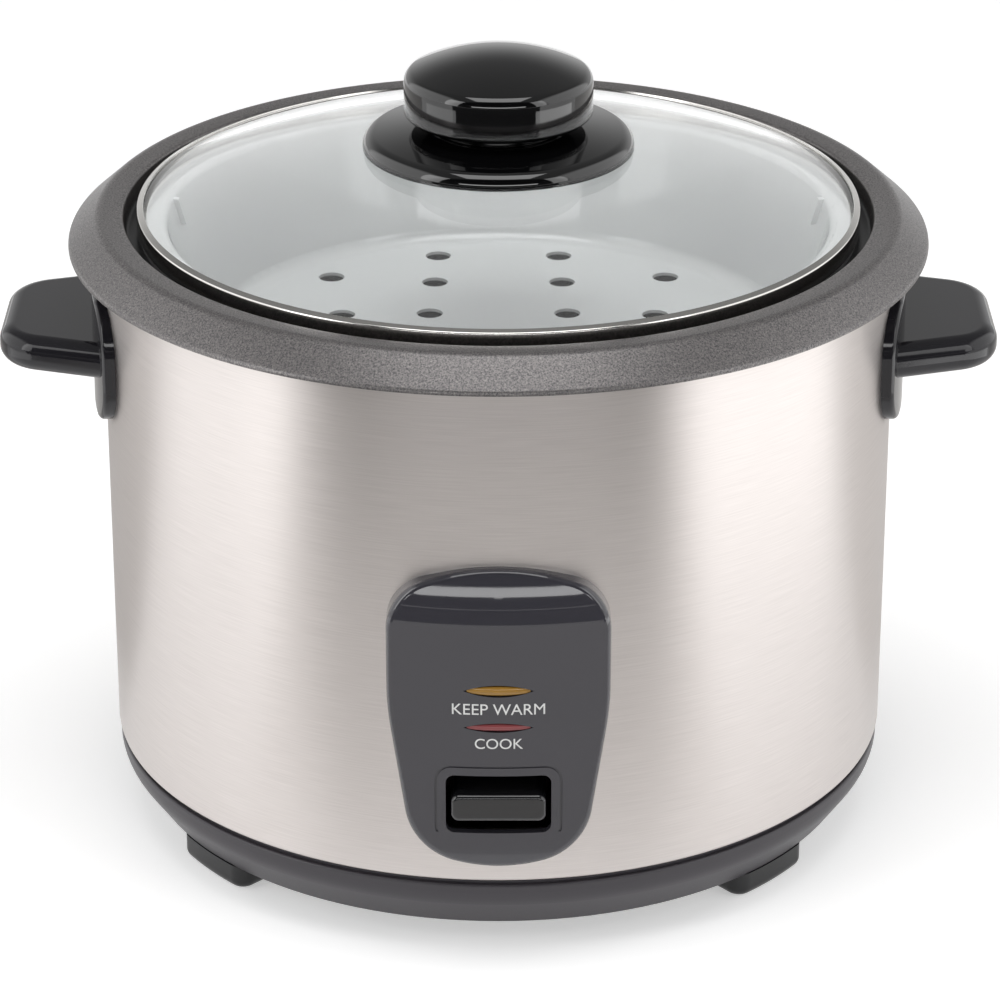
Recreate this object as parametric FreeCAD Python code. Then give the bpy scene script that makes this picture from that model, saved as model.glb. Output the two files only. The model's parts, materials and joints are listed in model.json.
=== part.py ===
"""Rice cooker: glass lid, steamer basket, inner pot, steel casing and one press switch.

Sizes are in millimetres. The origin is on the floor under the middle of the cooker, +Z is up and
the switch faces -Y.
"""
import FreeCAD
import Part
import math
import os

Vector = FreeCAD.Vector
MIDDLE = Vector(0, 0, 0)
RIGHT = Vector(1, 0, 0)
BACK = Vector(0, 1, 0)
UP = Vector(0, 0, 1)

# Inner pot and its rim
pot_radius = 104.0          # inside of the wall, just under the ledge
pot_wall = 1.5
pot_taper = 2.0             # how much narrower the pot is at its floor
pot_corner = 22.0           # inside corner between wall and floor
ledge_width = 10.3          # step that carries the basket and the lid
ledge_depth = 6.2           # from the mouth down to the step
ledge_soft = 1.2
rim_band = 7.7              # nearly level band round the mouth
rim_rise = 0.5              # from the mouth up to the crease
rim_overhang = 9.3          # sloping skirt outside the crease
rim_drop = 8.2              # height of that skirt
rim_lip = 1.0               # straight lip at the skirt's foot
rim_crease_soft = 4.0
rim_edge_soft = 1.8

# Steamer basket
basket_wall = 2.0
basket_gap = 1.2            # between basket and pot wall
basket_depth = 40.7
basket_slope = 11.5         # how much narrower the basket is at its floor
basket_corner = 5.0
floor_relief = 1.0          # how much thinner the basket's floor is than its wall
basket_lip_soft = 2.5
basket_rim_gap = 4.8        # between basket flange and pot mouth
hole_radius = 4.1
hole_rings = 3              # ring number k has four times k holes
hole_first_ring = 30.5
hole_ring_step = 22.6
lug_height = 7.5
lug_width = 2.2
lug_reach = 1.6
lug_drop = 1.0
lug_turn = 8.0              # degrees from the sides towards the back

# Lid
lid_gap = 4.0               # between lid and pot mouth
band_sheet = 0.5
band_height = 5.7
band_cover = 1.9            # fold of the band over the glass
band_foot = 3.8             # fold of the band under the glass
band_soft = 0.7
glass_thickness = 4.0
glass_rise = 20.3
glass_edge_gap = 0.3
glass_hole = 4.2
seat_gap = 0.06

# Knob
skirt_radius = 41.3
skirt_edge = 4.4
skirt_soft = 4.2
skirt_wall = 1.9
skirt_seat = 2.6            # width of the ring that stands on the glass
neck_radius = 20.0
neck_height = 2.9
collar_rise = 4.4           # from the glass to the knob's seat on its base
knob_radius = 28.7
knob_height = 23.0
knob_edge = 8.3             # straight part of the knob's side
knob_under = 1.2            # bevel under the knob's side
knob_ball = 62.0
knob_soft = 4.0
gasket_radius = 13.5
gasket_thickness = 1.0
washer_radius = 11.0
washer_thickness = 1.6
knob_screw_radius = 2.4
knob_screw_head = 4.5
knob_screw_head_height = 3.0
knob_screw_grip = 12.0
screw_play = 0.15

# Casing
casing_height = 162.7
casing_sheet = 0.8
casing_curl = 3.2           # top edge turned inwards
casing_flange = 20.5        # bottom edge turned inwards
casing_soft = 1.4
mouth_gap = 1.7             # between casing mouth and pot
rim_clearance = 6.2         # from the casing's top up to the crease of the rim

# Base ring, feet and bottom pan
foot_height = 8.0
foot_arc = 17.0
foot_angle = 50.5           # from the front and back directions
foot_twist = 1.8            # by which the base is turned on the casing
foot_depth = 14.6
foot_flare = 0.4            # how far the pad stands out beyond the ring at the floor
foot_end_round = 5.0
foot_soft = 3.0
foot_post_arc = 11.0
foot_shelf = 12.0           # floor to the shelf under the screw head
foot_play = 0.3
base_height = 16.7
base_inset = 0.5
base_taper = 8.0
base_wall = 2.5
base_bulge_rise = 11.5
base_bulge = 14.0
base_soft = 0.8
seam_height = 1.6
seam_depth = 1.6
land_width = 19.4
pan_sheet = 0.8
pan_lift = 3.0
pan_gap = 6.5
pan_slope = 3.5
pan_soft = 3.0
pan_margin = 2.4
vent_count = 8
vent_length = 14.0
vent_width = 4.0
base_screw_radius = 1.9
base_screw_head = 3.6
base_screw_head_height = 2.4
base_screw_end = 2.5

# Heating plate, pillars and element
pillar_height = 38.2
pillar_radius = 5.5
pillar_inset = 18.0
pillar_count = 3
plate_thickness = 10.0
plate_margin = 4.0
plate_soft = 1.5
bolt_radius = 2.0
bolt_head = 3.6
bolt_head_height = 2.4
bolt_grip = 6.0
element_share = 0.5526      # radius of the element's ring as a share of the plate's
element_tube = 3.6
element_play = 0.15
element_opening = 40.0      # degrees left open at the back
element_leg = 8.0
terminal_radius = 1.2
terminal_length = 8.0

# Thermostat in the middle of the plate
cap_radius = 17.0
cap_sheet = 0.8
cap_height = 17.0
cap_soft = 1.4
cap_play = 1.6
sleeve_sheet = 1.0
sleeve_flange = 7.0
sleeve_room = 9.0           # under the magnet, down to the sleeve's floor
ferrite_radius = 11.0
ferrite_thickness = 6.0
guide_gap = 1.7             # between guide tube and ferrite disc
guide_play = 1.0
magnet_radius = 10.6
magnet_bore = 4.5
magnet_height = 7.0
magnet_gap = 0.12
holder_plate = 1.2
rod_radius = 2.2
rod_play = 0.5
collar_radius = 4.8
collar_thickness = 1.6
collar_gap = 0.6
rod_tail = 1.0
cap_spring_wire = 0.5
cap_spring_turns = 5
magnet_spring_wire = 0.35
magnet_spring_turns = 4
spring_seat = 0.1

# Switch lever, its bracket and the microswitch
press_angle = 3.4
arm_length = 60.0           # from the cooker's axis to the lever's pin
arm_clearance = 9.9         # from the pan up to the top of the arm
lever_sheet = 1.5
lever_width = 12.0
lever_bend = 3.0
fork_reach = 6.0
fork_play = 0.7
pivot_rise = 14.3
pin_radius = 2.0
pin_play = 0.05
pin_head = 3.2
pin_head_thickness = 1.2
ear_half = 6.5
ear_soft = 4.5
riser_gap = 6.0
bracket_sheet = 1.5
bracket_gap = 0.5
bracket_front = 14.0
bracket_back = 44.0
bracket_screw_radius = 1.5
bracket_screw_head = 2.8
bracket_screw_head_height = 1.8
bracket_screw_inset = 4.5
microswitch_length = 20.0
microswitch_width = 6.4
microswitch_height = 5.0
microswitch_distance = 32.0  # from the lever's pin to the plunger
plunger_length = 3.0
plunger_width = 1.6
plunger_play = 0.3
plunger_depth = 3.2
plunger_gap = 0.12

# Control panel, lenses, lamps and switch button
switch_rise = 5.6           # of the switch above the underside of the plate
panel_proud = 7.5
panel_wall = 2.5
panel_edge = 2.4
panel_roll = 46.0           # rounding that leads the face back to the casing at the top
panel_roll_rise = 63.0
panel_roll_depth = 5.7
panel_half = 32.5
panel_foot_half = 25.4
panel_low = 22.2            # all heights here are counted from the switch
panel_heel = 16.2
panel_waist = 30.0
panel_shoulder = 66.9
panel_crown = 76.1
panel_low_round = 60.0
panel_heel_round = 19.0
panel_waist_round = 100.0
panel_shoulder_round = 16.0
panel_crown_round = 80.0
opening_half = 15.4
opening_height = 18.8
opening_lift = 0.5
opening_soft = 2.6
frame_margin = 3.2
frame_round = 5.0
frame_line = 0.7
frame_depth = 0.4
lens_half = 10.1
amber_rise = 37.4
red_rise = 25.6
amber_height = 3.6
red_height = 2.8
lens_play = 0.12
lens_proud = 0.4
lens_flange = 1.2
lens_flange_thickness = 1.0
holder_half = 13.0
holder_end = 4.5            # beyond each lamp's middle
holder_lip = 2.5
holder_depth = 9.0
lamp_radius = 2.5
lamp_half = 8.0
lamp_room = 1.0
lamp_play = 0.1
boss_radius = 3.6
boss_low = 17.6
boss_high = 62.4
window_half = 20.0
window_low = 11.6
window_high = 52.4
window_soft = 4.0
panel_screw_radius = 1.5
panel_screw_head = 3.2
panel_screw_head_height = 2.2
panel_screw_grip = 4.5
button_half = 13.85
button_height = 8.6
button_proud = 1.8
button_back = 9.0           # behind the casing's skin
button_soft = 2.4
button_edge = 1.4
tongue_short = 0.5
tongue_play = 0.05

# Handles
grip_drop = 28.0            # from the casing's top to the top of the grip
grip_thickness = 11.2
grip_half = 34.0            # at the casing
grip_tip_half = 24.0
grip_reach = 31.3
grip_corner = 16.0
grip_soft = 4.8
grip_wall = 3.0
grip_side = 3.5
grip_root = 7.0
ear_thickness = 3.6
ear_width = 75.5
ear_top_drop = 16.0
ear_height = 38.3
ear_round = 14.0
ear_edge = 1.6
handle_screw_radius = 1.8
handle_screw_head = 3.4
handle_screw_head_height = 2.2
handle_screw_grip = 9.0
handle_screw_spread = 14.0
head_seat = 0.06

# Rear inlet
inlet_drop = 2.0            # of its middle under the plate's underside
inlet_half = 13.5
inlet_half_height = 9.8
inlet_inside = 19.5
inlet_flange_half = 22.0
inlet_flange_half_height = 14.0
inlet_flange_proud = 4.0
inlet_soft = 4.0
inlet_play = 0.3
socket_half = 11.6
socket_half_height = 7.8
socket_depth = 17.0
socket_soft = 3.0
blade_length = 11.0
blade_tail = 6.0
blade_half_width = 1.0
blade_half_height = 2.0
blade_spread = 7.0
blade_low = 2.0
blade_earth = 3.0
inlet_screw_radius = 1.4
inlet_screw_head = 2.6
inlet_screw_head_height = 1.5
inlet_screw_spread = 18.0
inlet_screw_end = 3.0

# Keep-warm thermostat, thermal fuse and leads
side_parts_inset = 14.0
warm_radius = 8.0
warm_height = 9.0
warm_ear_half = 13.0
warm_ear_width = 8.0
warm_ear_thickness = 1.2
fuse_radius = 2.5
fuse_length = 14.0
fuse_play = 0.1
clip_sheet = 0.8
clip_width = 6.0
clip_tab = 4.8
clip_soft = 1.6
lead_radius = 1.2
lead_bend = 0.45            # share of a run that each of its bends may take
lead_start = 8.0            # straight run behind a blade
lead_turn = 20.0            # where a lead has turned, behind its blade
lead_bow = 24.0
lead_far = 42.0
lead_sag = 6.0
lead_aside = 4.0
lead_run = 30.0
lead_hang = 10.0
lead_fall = 14.0
lead_stand = 12.0

# Radii and heights that follow from the sizes above
touch = 0.001
full_turn = 360.0
half_turn = 180.0
quarter_turn = 90.0
pot_mouth = pot_radius + ledge_width
casing_radius = pot_mouth + pot_wall + mouth_gap + casing_curl + casing_sheet
casing_inner = casing_radius - casing_sheet
crease_radius = pot_mouth + rim_band
rim_radius = crease_radius + rim_overhang
base_radius = casing_radius - base_inset
base_foot_radius = base_radius - base_taper
land_radius = base_radius - seam_depth
land_inner = land_radius - land_width
pan_wall_radius = land_inner - pan_gap
pan_floor_radius = pan_wall_radius - pan_slope
plate_radius = pot_radius - pot_taper - pot_corner - plate_margin
pillar_circle = plate_radius - pillar_inset
element_radius = plate_radius * element_share

base_low = foot_height
base_shoulder = base_low + base_height
land_top = base_shoulder + seam_height - pan_sheet
land_low = land_top - base_wall
casing_low = land_top + pan_sheet
casing_top = casing_low + casing_height
pan_low = base_low + pan_lift
pan_top = pan_low + pan_sheet
plate_low = pan_top + pillar_height
plate_top = plate_low + plate_thickness
rim_top = casing_top + rim_clearance
mouth_top = rim_top - rim_rise
ledge_top = mouth_top - ledge_depth
basket_top = ledge_top + basket_wall
basket_floor = basket_top - basket_depth
basket_wall_radius = pot_radius - basket_gap - basket_wall
basket_floor_radius = basket_wall_radius - basket_slope

lid_radius = pot_mouth - lid_gap
glass_radius = lid_radius - band_sheet - glass_edge_gap
glass_ball = (glass_radius ** 2 + glass_rise ** 2) / (2 * glass_rise)
glass_edge_top = basket_top + band_height
glass_apex = glass_edge_top + glass_rise
glass_centre = Vector(0, 0, glass_apex - glass_ball)
knob_low = glass_apex + collar_rise
knob_top = knob_low + knob_height
knob_bore = knob_screw_radius + screw_play

foot_inner = base_foot_radius - base_wall - foot_play - foot_depth + base_wall
foot_upper = base_foot_radius - base_wall - foot_play
base_screw_circle = (foot_inner + foot_upper) / 2

cap_under = plate_top - cap_sheet
ferrite_low = cap_under - ferrite_thickness
magnet_travel = arm_length * math.sin(math.radians(press_angle))
magnet_top = ferrite_low - magnet_gap - magnet_travel
magnet_low = magnet_top - magnet_height
holder_low = magnet_low - holder_plate
sleeve_floor = holder_low - sleeve_room
sleeve_bore = cap_radius + cap_play
guide_bore = magnet_radius + guide_play
guide_outer = guide_bore + sleeve_sheet

arm_top = pan_top + arm_clearance
arm_low = arm_top - lever_sheet
pivot_z = arm_top + pivot_rise
pivot_y = -arm_length
riser_y = plate_radius + riser_gap
lever_half = lever_width / 2
bracket_inner = lever_half + bracket_gap
bracket_outer = bracket_inner + bracket_sheet
bracket_top = pan_top + bracket_sheet

switch_z = plate_low + switch_rise
panel_face = casing_radius + panel_proud
panel_inner = panel_face - panel_wall
lens_back = panel_inner - lens_flange_thickness
grip_top = casing_top - grip_drop
grip_low = grip_top - grip_thickness
grip_tip = casing_radius + grip_reach
ear_face = casing_radius + ear_thickness
ear_top = casing_top - ear_top_drop
inlet_z = plate_low - inlet_drop
inlet_face = casing_radius + inlet_flange_proud
inlet_back = casing_radius - inlet_inside
socket_floor = inlet_face - socket_depth
side_parts_radius = plate_radius - side_parts_inset


def corner_arc(before, corner, after, reach):
    """Arc that rounds a corner and meets both of its sides at the reach from it."""
    one = (before - corner).normalize()
    two = (after - corner).normalize()
    middle = (one + two).normalize()
    cosine = middle.dot(one)
    depth = reach * (1 - math.sqrt(1 - cosine ** 2)) / cosine
    return Part.Arc(corner + one * reach, corner + middle * depth, corner + two * reach).toShape()


def rounded_wire(corners):
    """Closed wire through corners (point, rounding); a rounding takes at most half of a side."""
    count = len(corners)
    pieces = []
    for number, (corner, rounding) in enumerate(corners):
        before = corners[number - 1][0]
        after = corners[(number + 1) % count][0]
        if rounding <= 0:
            pieces.append((corner, corner, None))
            continue
        opening = (before - corner).getAngle(after - corner)
        shorter = min((before - corner).Length, (after - corner).Length)
        reach = min(rounding / math.tan(opening / 2), shorter / 2 - touch)
        arc = corner_arc(before, corner, after, reach)
        pieces.append((arc.Vertexes[0].Point, arc.Vertexes[-1].Point, arc))
    edges = []
    for number, (start, end, arc) in enumerate(pieces):
        last_end = pieces[number - 1][1]
        if (start - last_end).Length > touch / 2:
            edges.append(Part.LineSegment(last_end, start).toShape())
        if arc is not None:
            edges.append(arc)
    return Part.Wire(Part.__sortEdges__(edges))


def thickened(path, wall):
    """Closed outline of a sheet that follows an open path and lies on its left side."""
    other = []
    for number, (u, v, rounding) in enumerate(path):
        spot = Vector(u, v, 0)
        after = path[min(number + 1, len(path) - 1)]
        before = path[max(number - 1, 0)]
        into = spot - Vector(before[0], before[1], 0)
        out = Vector(after[0], after[1], 0) - spot
        into = into if into.Length > 0 else out
        out = out if out.Length > 0 else into
        normal_in = UP.cross(into).normalize()
        normal_out = UP.cross(out).normalize()
        mitre = (normal_in + normal_out).normalize()
        offset = spot + mitre * (wall / mitre.dot(normal_in))
        turn = into.cross(out).z
        inner_rounding = max(rounding - wall, 0) if turn > 0 else rounding + wall
        other.append((offset.x, offset.y, inner_rounding if rounding > 0 else 0))
    return path + other[::-1]


def turned(profile):
    """Solid of revolution about +Z from a closed profile of (radius, height, rounding)."""
    corners = [(Vector(radius, 0, height), rounding) for radius, height, rounding in profile]
    return Part.Face(rounded_wire(corners)).revolve(MIDDLE, UP, full_turn)


def level(outline, low, high):
    """Upright prism over an outline of (x, y, rounding)."""
    corners = [(Vector(x, y, low), rounding) for x, y, rounding in outline]
    return Part.Face(rounded_wire(corners)).extrude(UP * (high - low))


def frontal(outline, near, far):
    """Prism along Y over an outline of (x, z, rounding)."""
    corners = [(Vector(x, near, z), rounding) for x, z, rounding in outline]
    return Part.Face(rounded_wire(corners)).extrude(BACK * (far - near))


def sideways(outline, near, far):
    """Prism along X over an outline of (y, z, rounding)."""
    corners = [(Vector(near, y, z), rounding) for y, z, rounding in outline]
    return Part.Face(rounded_wire(corners)).extrude(RIGHT * (far - near))


def rectangle(half, low, high, rounding):
    """Outline of an upright rectangle centred on zero."""
    return [(-half, low, rounding), (half, low, rounding), (half, high, rounding), (-half, high, rounding)]


def both_sides(half_outline):
    """Closed outline from its right half, listed from the top middle to the bottom middle."""
    return half_outline + [(-u, v, rounding) for u, v, rounding in half_outline[::-1] if u > 0]


def tube(inner, outer, low, high):
    """Round tube about the cooker's axis."""
    return turned([(inner, low, 0), (outer, low, 0), (outer, high, 0), (inner, high, 0)])


def ring_segment(inner, outer, low, high, arc):
    """Part of a tube about the cooker's axis, centred on +X."""
    corners = [(Vector(inner, 0, low), 0), (Vector(outer, 0, low), 0), (Vector(outer, 0, high), 0),
               (Vector(inner, 0, high), 0)]
    return around(Part.Face(rounded_wire(corners)).revolve(MIDDLE, UP, arc), -arc / 2)


def rod(start, direction, radius, length):
    """Round bar from a start point."""
    return Part.makeCylinder(radius, length, start, direction)


def around(shape, degrees):
    """Copy of a shape, turned about the cooker's axis."""
    copy = shape.copy()
    copy.rotate(MIDDLE, UP, degrees)
    return copy


def mirrored(shape):
    """Copy of a shape on the other side of the cooker."""
    return shape.mirror(MIDDLE, RIGHT)


def shell_front(outline, inner, outer):
    """Piece of a wall round the cooker's axis, cut to an outline of (x, z) on the front."""
    return frontal(outline, -rim_radius - panel_proud, -plate_radius / 2).common(tube(inner, outer, 0, knob_top))


def edges_at_radius(shape, radius):
    """Edges whose ends all lie at one distance from the cooker's axis."""
    return [edge for edge in shape.Edges
            if all(abs(math.hypot(end.X, end.Y) - radius) < touch for end in edge.Vertexes)]


def tangent_path(points, first, last):
    """Wire of arcs through a chain of corners, each from the middle of one side to the next."""
    edges = []
    for number in range(first, last):
        before, corner, after = points[number - 1], points[number], points[number + 1]
        edges.append(corner_arc(before, corner, after, (after - corner).Length / 2))
    return Part.Wire(edges)


def coil(radius, wire, low, high, turns):
    """Wound spring as one tube; eight arcs make a turn. Prints the least gap between turns."""
    steps = turns * 8
    step = math.radians(full_turn / 8)
    climb = (high - low - 2 * wire) / steps
    corner_radius = radius / math.cos(step / 2)
    corners = [Vector(corner_radius * math.cos(step * (number - 0.5)),
                      corner_radius * math.sin(step * (number - 0.5)),
                      low + wire + climb * (number - 0.5)) for number in range(steps + 2)]
    path = tangent_path(corners, 1, steps + 1)
    start = path.Edges[0]
    section = Part.Wire(Part.makeCircle(wire, start.valueAt(start.FirstParameter),
                                        start.tangentAt(start.FirstParameter)))
    print("least gap between the turns of a spring:", round(climb * 8 - 2 * wire, 2))
    return path.makePipeShell([section], True, False)


def lead(points):
    """Insulated wire as one tube on straight runs joined by tangent arcs."""
    corners = [Vector(*spot) for spot in points]
    edges = []
    last_end = corners[0]
    for before, corner, after in zip(corners, corners[1:], corners[2:]):
        reach = lead_bend * min((before - corner).Length, (after - corner).Length)
        arc = corner_arc(before, corner, after, reach)
        edges.append(Part.LineSegment(last_end, arc.Vertexes[0].Point).toShape())
        edges.append(arc)
        last_end = arc.Vertexes[-1].Point
    edges.append(Part.LineSegment(last_end, corners[-1]).toShape())
    path = Part.Wire(edges)
    section = Part.Wire(Part.makeCircle(lead_radius, corners[0], corners[1] - corners[0]))
    return path.makePipeShell([section], True, False)


def glass_top(radius):
    """Height of the glass's upper face at a distance from the axis."""
    return glass_centre.z + math.sqrt(glass_ball ** 2 - radius ** 2)


def foot_angles():
    """Directions of the four feet, counted from +X."""
    return {
        "front_right": -quarter_turn + foot_angle - foot_twist,
        "rear_right": quarter_turn - foot_angle - foot_twist,
        "rear_left": quarter_turn + foot_angle - foot_twist,
        "front_left": -quarter_turn - foot_angle - foot_twist,
    }


def pillar_spots(height):
    """Places of the pillars round the axis, the first one at the back."""
    spots = []
    for number in range(pillar_count):
        angle = math.radians(quarter_turn + number * full_turn / pillar_count)
        spots.append(Vector(pillar_circle * math.cos(angle), pillar_circle * math.sin(angle), height))
    return spots


def base_screw_spots(height):
    """Places of the screws that go up through the feet."""
    angles = [math.radians(angle) for angle in foot_angles().values()]
    return [Vector(base_screw_circle * math.cos(a), base_screw_circle * math.sin(a), height) for a in angles]


def bracket_screw_spots(height):
    """Places of the two screws under the lever's bracket."""
    front = pivot_y - bracket_front + bracket_screw_inset
    back = pivot_y + bracket_back - bracket_screw_inset
    return [Vector(0, front, height), Vector(0, back, height)]


def drilled(shape, spots, direction, radius, length):
    """Shape with round holes that start at each of the spots."""
    for spot in spots:
        shape = shape.cut(rod(spot, direction, radius, length))
    return shape


def screws(spots, direction, radius, length, head, head_height):
    """Group of screws; each spot is where the head meets its seat and the shank runs on."""
    group = []
    for spot in spots:
        shank = rod(spot, direction, radius, length)
        group.append(shank.fuse(rod(spot, direction * -1, head, head_height)))
    return Part.makeCompound(group)


def base_ring():
    """Tapered plastic ring with a land on top that carries pan and casing."""
    bulge = base_low + base_bulge_rise
    ring = turned([
        (base_radius, base_shoulder, base_soft), (land_radius, base_shoulder, 0), (land_radius, land_top, 0),
        (land_inner, land_top, 0), (land_inner, land_low, 0), (base_radius - base_wall, land_low, 0),
        (base_radius - base_wall, bulge, base_bulge - base_wall), (base_foot_radius - base_wall, base_low, 0),
        (base_foot_radius, base_low, base_soft), (base_radius, bulge, base_bulge)])
    return drilled(ring, base_screw_spots(0), UP, base_screw_radius + screw_play, land_top + base_wall)


def foot(angle):
    """Foot that fills in under the base ring and reaches up to its land."""
    pad = ring_segment(foot_inner, base_foot_radius + foot_flare, 0, base_low, foot_arc)
    pad = pad.makeFillet(foot_end_round, [edge for edge in pad.Edges if edge.BoundBox.ZLength > base_low / 2])
    pad = pad.makeFillet(foot_soft, [edge for edge in pad.Edges if edge.BoundBox.ZMax < touch])
    post = ring_segment(foot_inner, foot_upper, base_low - foot_soft, land_low, foot_post_arc)
    block = pad.fuse(post)
    block = drilled(block, [Vector(base_screw_circle, 0, 0)], UP, base_screw_head + foot_play, foot_shelf)
    block = drilled(block, [Vector(base_screw_circle, 0, 0)], UP, base_screw_radius + screw_play, land_top)
    return around(block, angle)


def base_screws():
    """Screws up through the feet, the land, the pan and the casing's flange."""
    length = casing_low + casing_sheet + base_screw_end - foot_shelf
    spots = base_screw_spots(foot_shelf)
    return screws(spots, UP, base_screw_radius, length, base_screw_head, base_screw_head_height)


def bottom_pan():
    """Pressed pan that closes the cooker underneath and carries the works."""
    path = [(0, pan_low, 0), (pan_floor_radius, pan_low, pan_soft), (pan_wall_radius, land_top, pan_soft),
            (land_radius - pan_margin, land_top, 0)]
    pan = turned(thickened(path, pan_sheet))
    pan = drilled(pan, base_screw_spots(pan_low), UP, base_screw_radius + screw_play, land_top)
    pan = drilled(pan, pillar_spots(0), UP, bolt_radius + screw_play, plate_low)
    pan = drilled(pan, bracket_screw_spots(0), UP, bracket_screw_radius + screw_play, bracket_top)
    vent_start = pillar_circle + pillar_radius + vent_width
    slot = level([(vent_start, -vent_width / 2, 0), (vent_start + vent_length, -vent_width / 2, 0),
                  (vent_start + vent_length, vent_width / 2, 0), (vent_start, vent_width / 2, 0)],
                 0, pan_top + pan_sheet)
    for number in range(vent_count):
        pan = pan.cut(around(slot, (number + 0.5) * full_turn / vent_count))
    return pan


def casing():
    """Steel drum with its lower edge turned in as a flange and its upper edge curled in."""
    path = [(casing_radius - casing_flange, casing_low, 0), (casing_radius, casing_low, casing_soft),
            (casing_radius, casing_top, casing_soft), (casing_inner - casing_curl, casing_top, 0)]
    drum = turned(thickened(path, casing_sheet))
    drum = drilled(drum, base_screw_spots(0), UP, base_screw_radius + screw_play, casing_low + land_top)
    window = rectangle(window_half, switch_z - window_low, switch_z + window_high, window_soft)
    drum = drum.cut(frontal(window, -panel_face, -plate_radius))
    for height in panel_screw_heights():
        drum = drum.cut(rod(Vector(0, 0, height), BACK * -1, panel_screw_radius + screw_play, panel_face))
    for angle in handle_screw_angles():
        hole = rod(Vector(0, 0, handle_screw_height()), RIGHT, handle_screw_radius + screw_play, ear_face)
        drum = drum.cut(around(hole, angle))
    gap = inlet_play
    cut = rectangle(inlet_half + gap, inlet_z - inlet_half_height - gap, inlet_z + inlet_half_height + gap,
                    inlet_soft)
    drum = drum.cut(frontal(cut, inlet_back, inlet_face))
    for side in (-1, 1):
        spot = Vector(side * inlet_screw_spread, inlet_back, inlet_z)
        drum = drum.cut(rod(spot, BACK, inlet_screw_radius + screw_play, inlet_inside + inlet_flange_proud))
    return drum


def inner_pot():
    """Pot with a ledge inside its mouth and a rim that overhangs the casing."""
    floor = plate_top + pot_wall
    path = [(rim_radius, rim_top - rim_drop - rim_lip, 0), (rim_radius, rim_top - rim_drop, rim_edge_soft),
            (crease_radius, rim_top, rim_crease_soft), (pot_mouth, mouth_top, ledge_soft),
            (pot_mouth, ledge_top, ledge_soft), (pot_radius, ledge_top, ledge_soft),
            (pot_radius - pot_taper, floor, pot_corner), (0, floor, 0)]
    return turned(thickened(path, pot_wall))


def steamer_basket():
    """Tray with rings of round holes in its floor and two small lugs inside its wall."""
    path = [(pot_mouth - basket_rim_gap, basket_top, 0), (basket_wall_radius, basket_top, basket_lip_soft),
            (basket_floor_radius, basket_floor, basket_corner), (0, basket_floor, 0)]
    tray = turned(thickened(path, basket_wall))
    relief = Part.makeCylinder(basket_floor_radius - basket_corner, floor_relief)
    tray = tray.cut(relief.translated(UP * (basket_floor - basket_wall)))
    lug_top = basket_top - lug_drop
    lean = basket_slope / basket_depth
    high = basket_wall_radius - lug_drop * lean
    low = high - lug_height * lean
    sink = basket_wall / 2
    outline = [(low - lug_reach, lug_top - lug_height, 0), (low + sink, lug_top - lug_height, 0),
               (high + sink, lug_top, 0), (high - lug_reach, lug_top, 0)]
    lug = around(frontal(outline, -lug_width / 2, lug_width / 2), lug_turn)
    tray = tray.fuse([lug, mirrored(lug)])
    for ring in range(1, hole_rings + 1):
        radius = hole_first_ring + hole_ring_step * (ring - 1)
        hole = rod(Vector(radius, 0, basket_floor - basket_depth), UP, hole_radius, basket_depth * 2)
        for number in range(4 * ring):
            tray = tray.cut(around(hole, (number + 0.5) * full_turn / (4 * ring)))
    return tray


def glass_ball_at(thinner):
    """Ball whose upper part is one face of the glass."""
    return Part.makeSphere(glass_ball - thinner, glass_centre)


def lid_glass():
    """Domed pane with a hole in the middle for the knob's screw."""
    start = basket_top
    blank = Part.makeCylinder(glass_radius, glass_apex - start, Vector(0, 0, start), UP)
    pane = blank.common(glass_ball_at(0)).cut(glass_ball_at(glass_thickness))
    return drilled(pane, [Vector(0, 0, start)], UP, glass_hole, glass_apex)


def lid_band():
    """Steel band folded over and under the edge of the glass; it stands on the basket."""
    lean = math.asin(lid_radius / glass_ball)
    lift = band_sheet / math.cos(lean) + seat_gap
    inner = lid_radius - band_cover
    path = [(lid_radius - band_foot, basket_top, 0), (lid_radius, basket_top, band_soft),
            (lid_radius, glass_top(lid_radius) + lift, band_soft), (inner, glass_top(inner) + lift, 0)]
    return turned(thickened(path, band_sheet))


def knob_base():
    """Hollow skirt that stands on the glass and carries the knob."""
    edge_low = glass_top(skirt_radius)
    seat = glass_apex + gasket_thickness
    skirt = turned([
        (knob_bore, seat, 0), (gasket_radius, seat, 0), (gasket_radius + skirt_seat, seat + skirt_wall, 0),
        (skirt_radius - skirt_seat, edge_low + skirt_edge - skirt_wall / 2, 0),
        (skirt_radius - skirt_seat, basket_top, 0), (skirt_radius, basket_top, 0),
        (skirt_radius, edge_low + skirt_edge, skirt_soft), (neck_radius + skirt_seat, knob_low, skirt_seat),
        (knob_bore, knob_low, 0)])
    return skirt.cut(glass_ball_at(0))


def knob_gasket():
    """Soft washer between glass and knob base."""
    return tube(knob_bore, gasket_radius, basket_top, glass_apex + gasket_thickness).cut(glass_ball_at(0))


def lid_knob():
    """Mushroom knob on a short stepped neck."""
    side_low = knob_low + neck_height
    step = neck_height / 2
    body = turned([
        (0, knob_low, 0), (neck_radius - step, knob_low, 0), (neck_radius - step, knob_low + step, 0),
        (neck_radius, knob_low + step, 0), (neck_radius, side_low, 0), (knob_radius - knob_under, side_low, 0),
        (knob_radius, side_low + knob_under, knob_under), (knob_radius, knob_top, 0), (0, knob_top, 0)])
    body = body.common(Part.makeSphere(knob_ball, Vector(0, 0, knob_top - knob_ball)))
    rims = [edge for edge in edges_at_radius(body, knob_radius) if edge.BoundBox.ZMin > side_low + knob_edge]
    body = body.makeFillet(knob_soft, rims)
    return drilled(body, [Vector(0, 0, knob_low)], UP, knob_bore, knob_screw_grip + screw_play)


def washer_low():
    """Height of the washer's lower face under the glass."""
    return glass_apex - glass_thickness - washer_thickness


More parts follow.
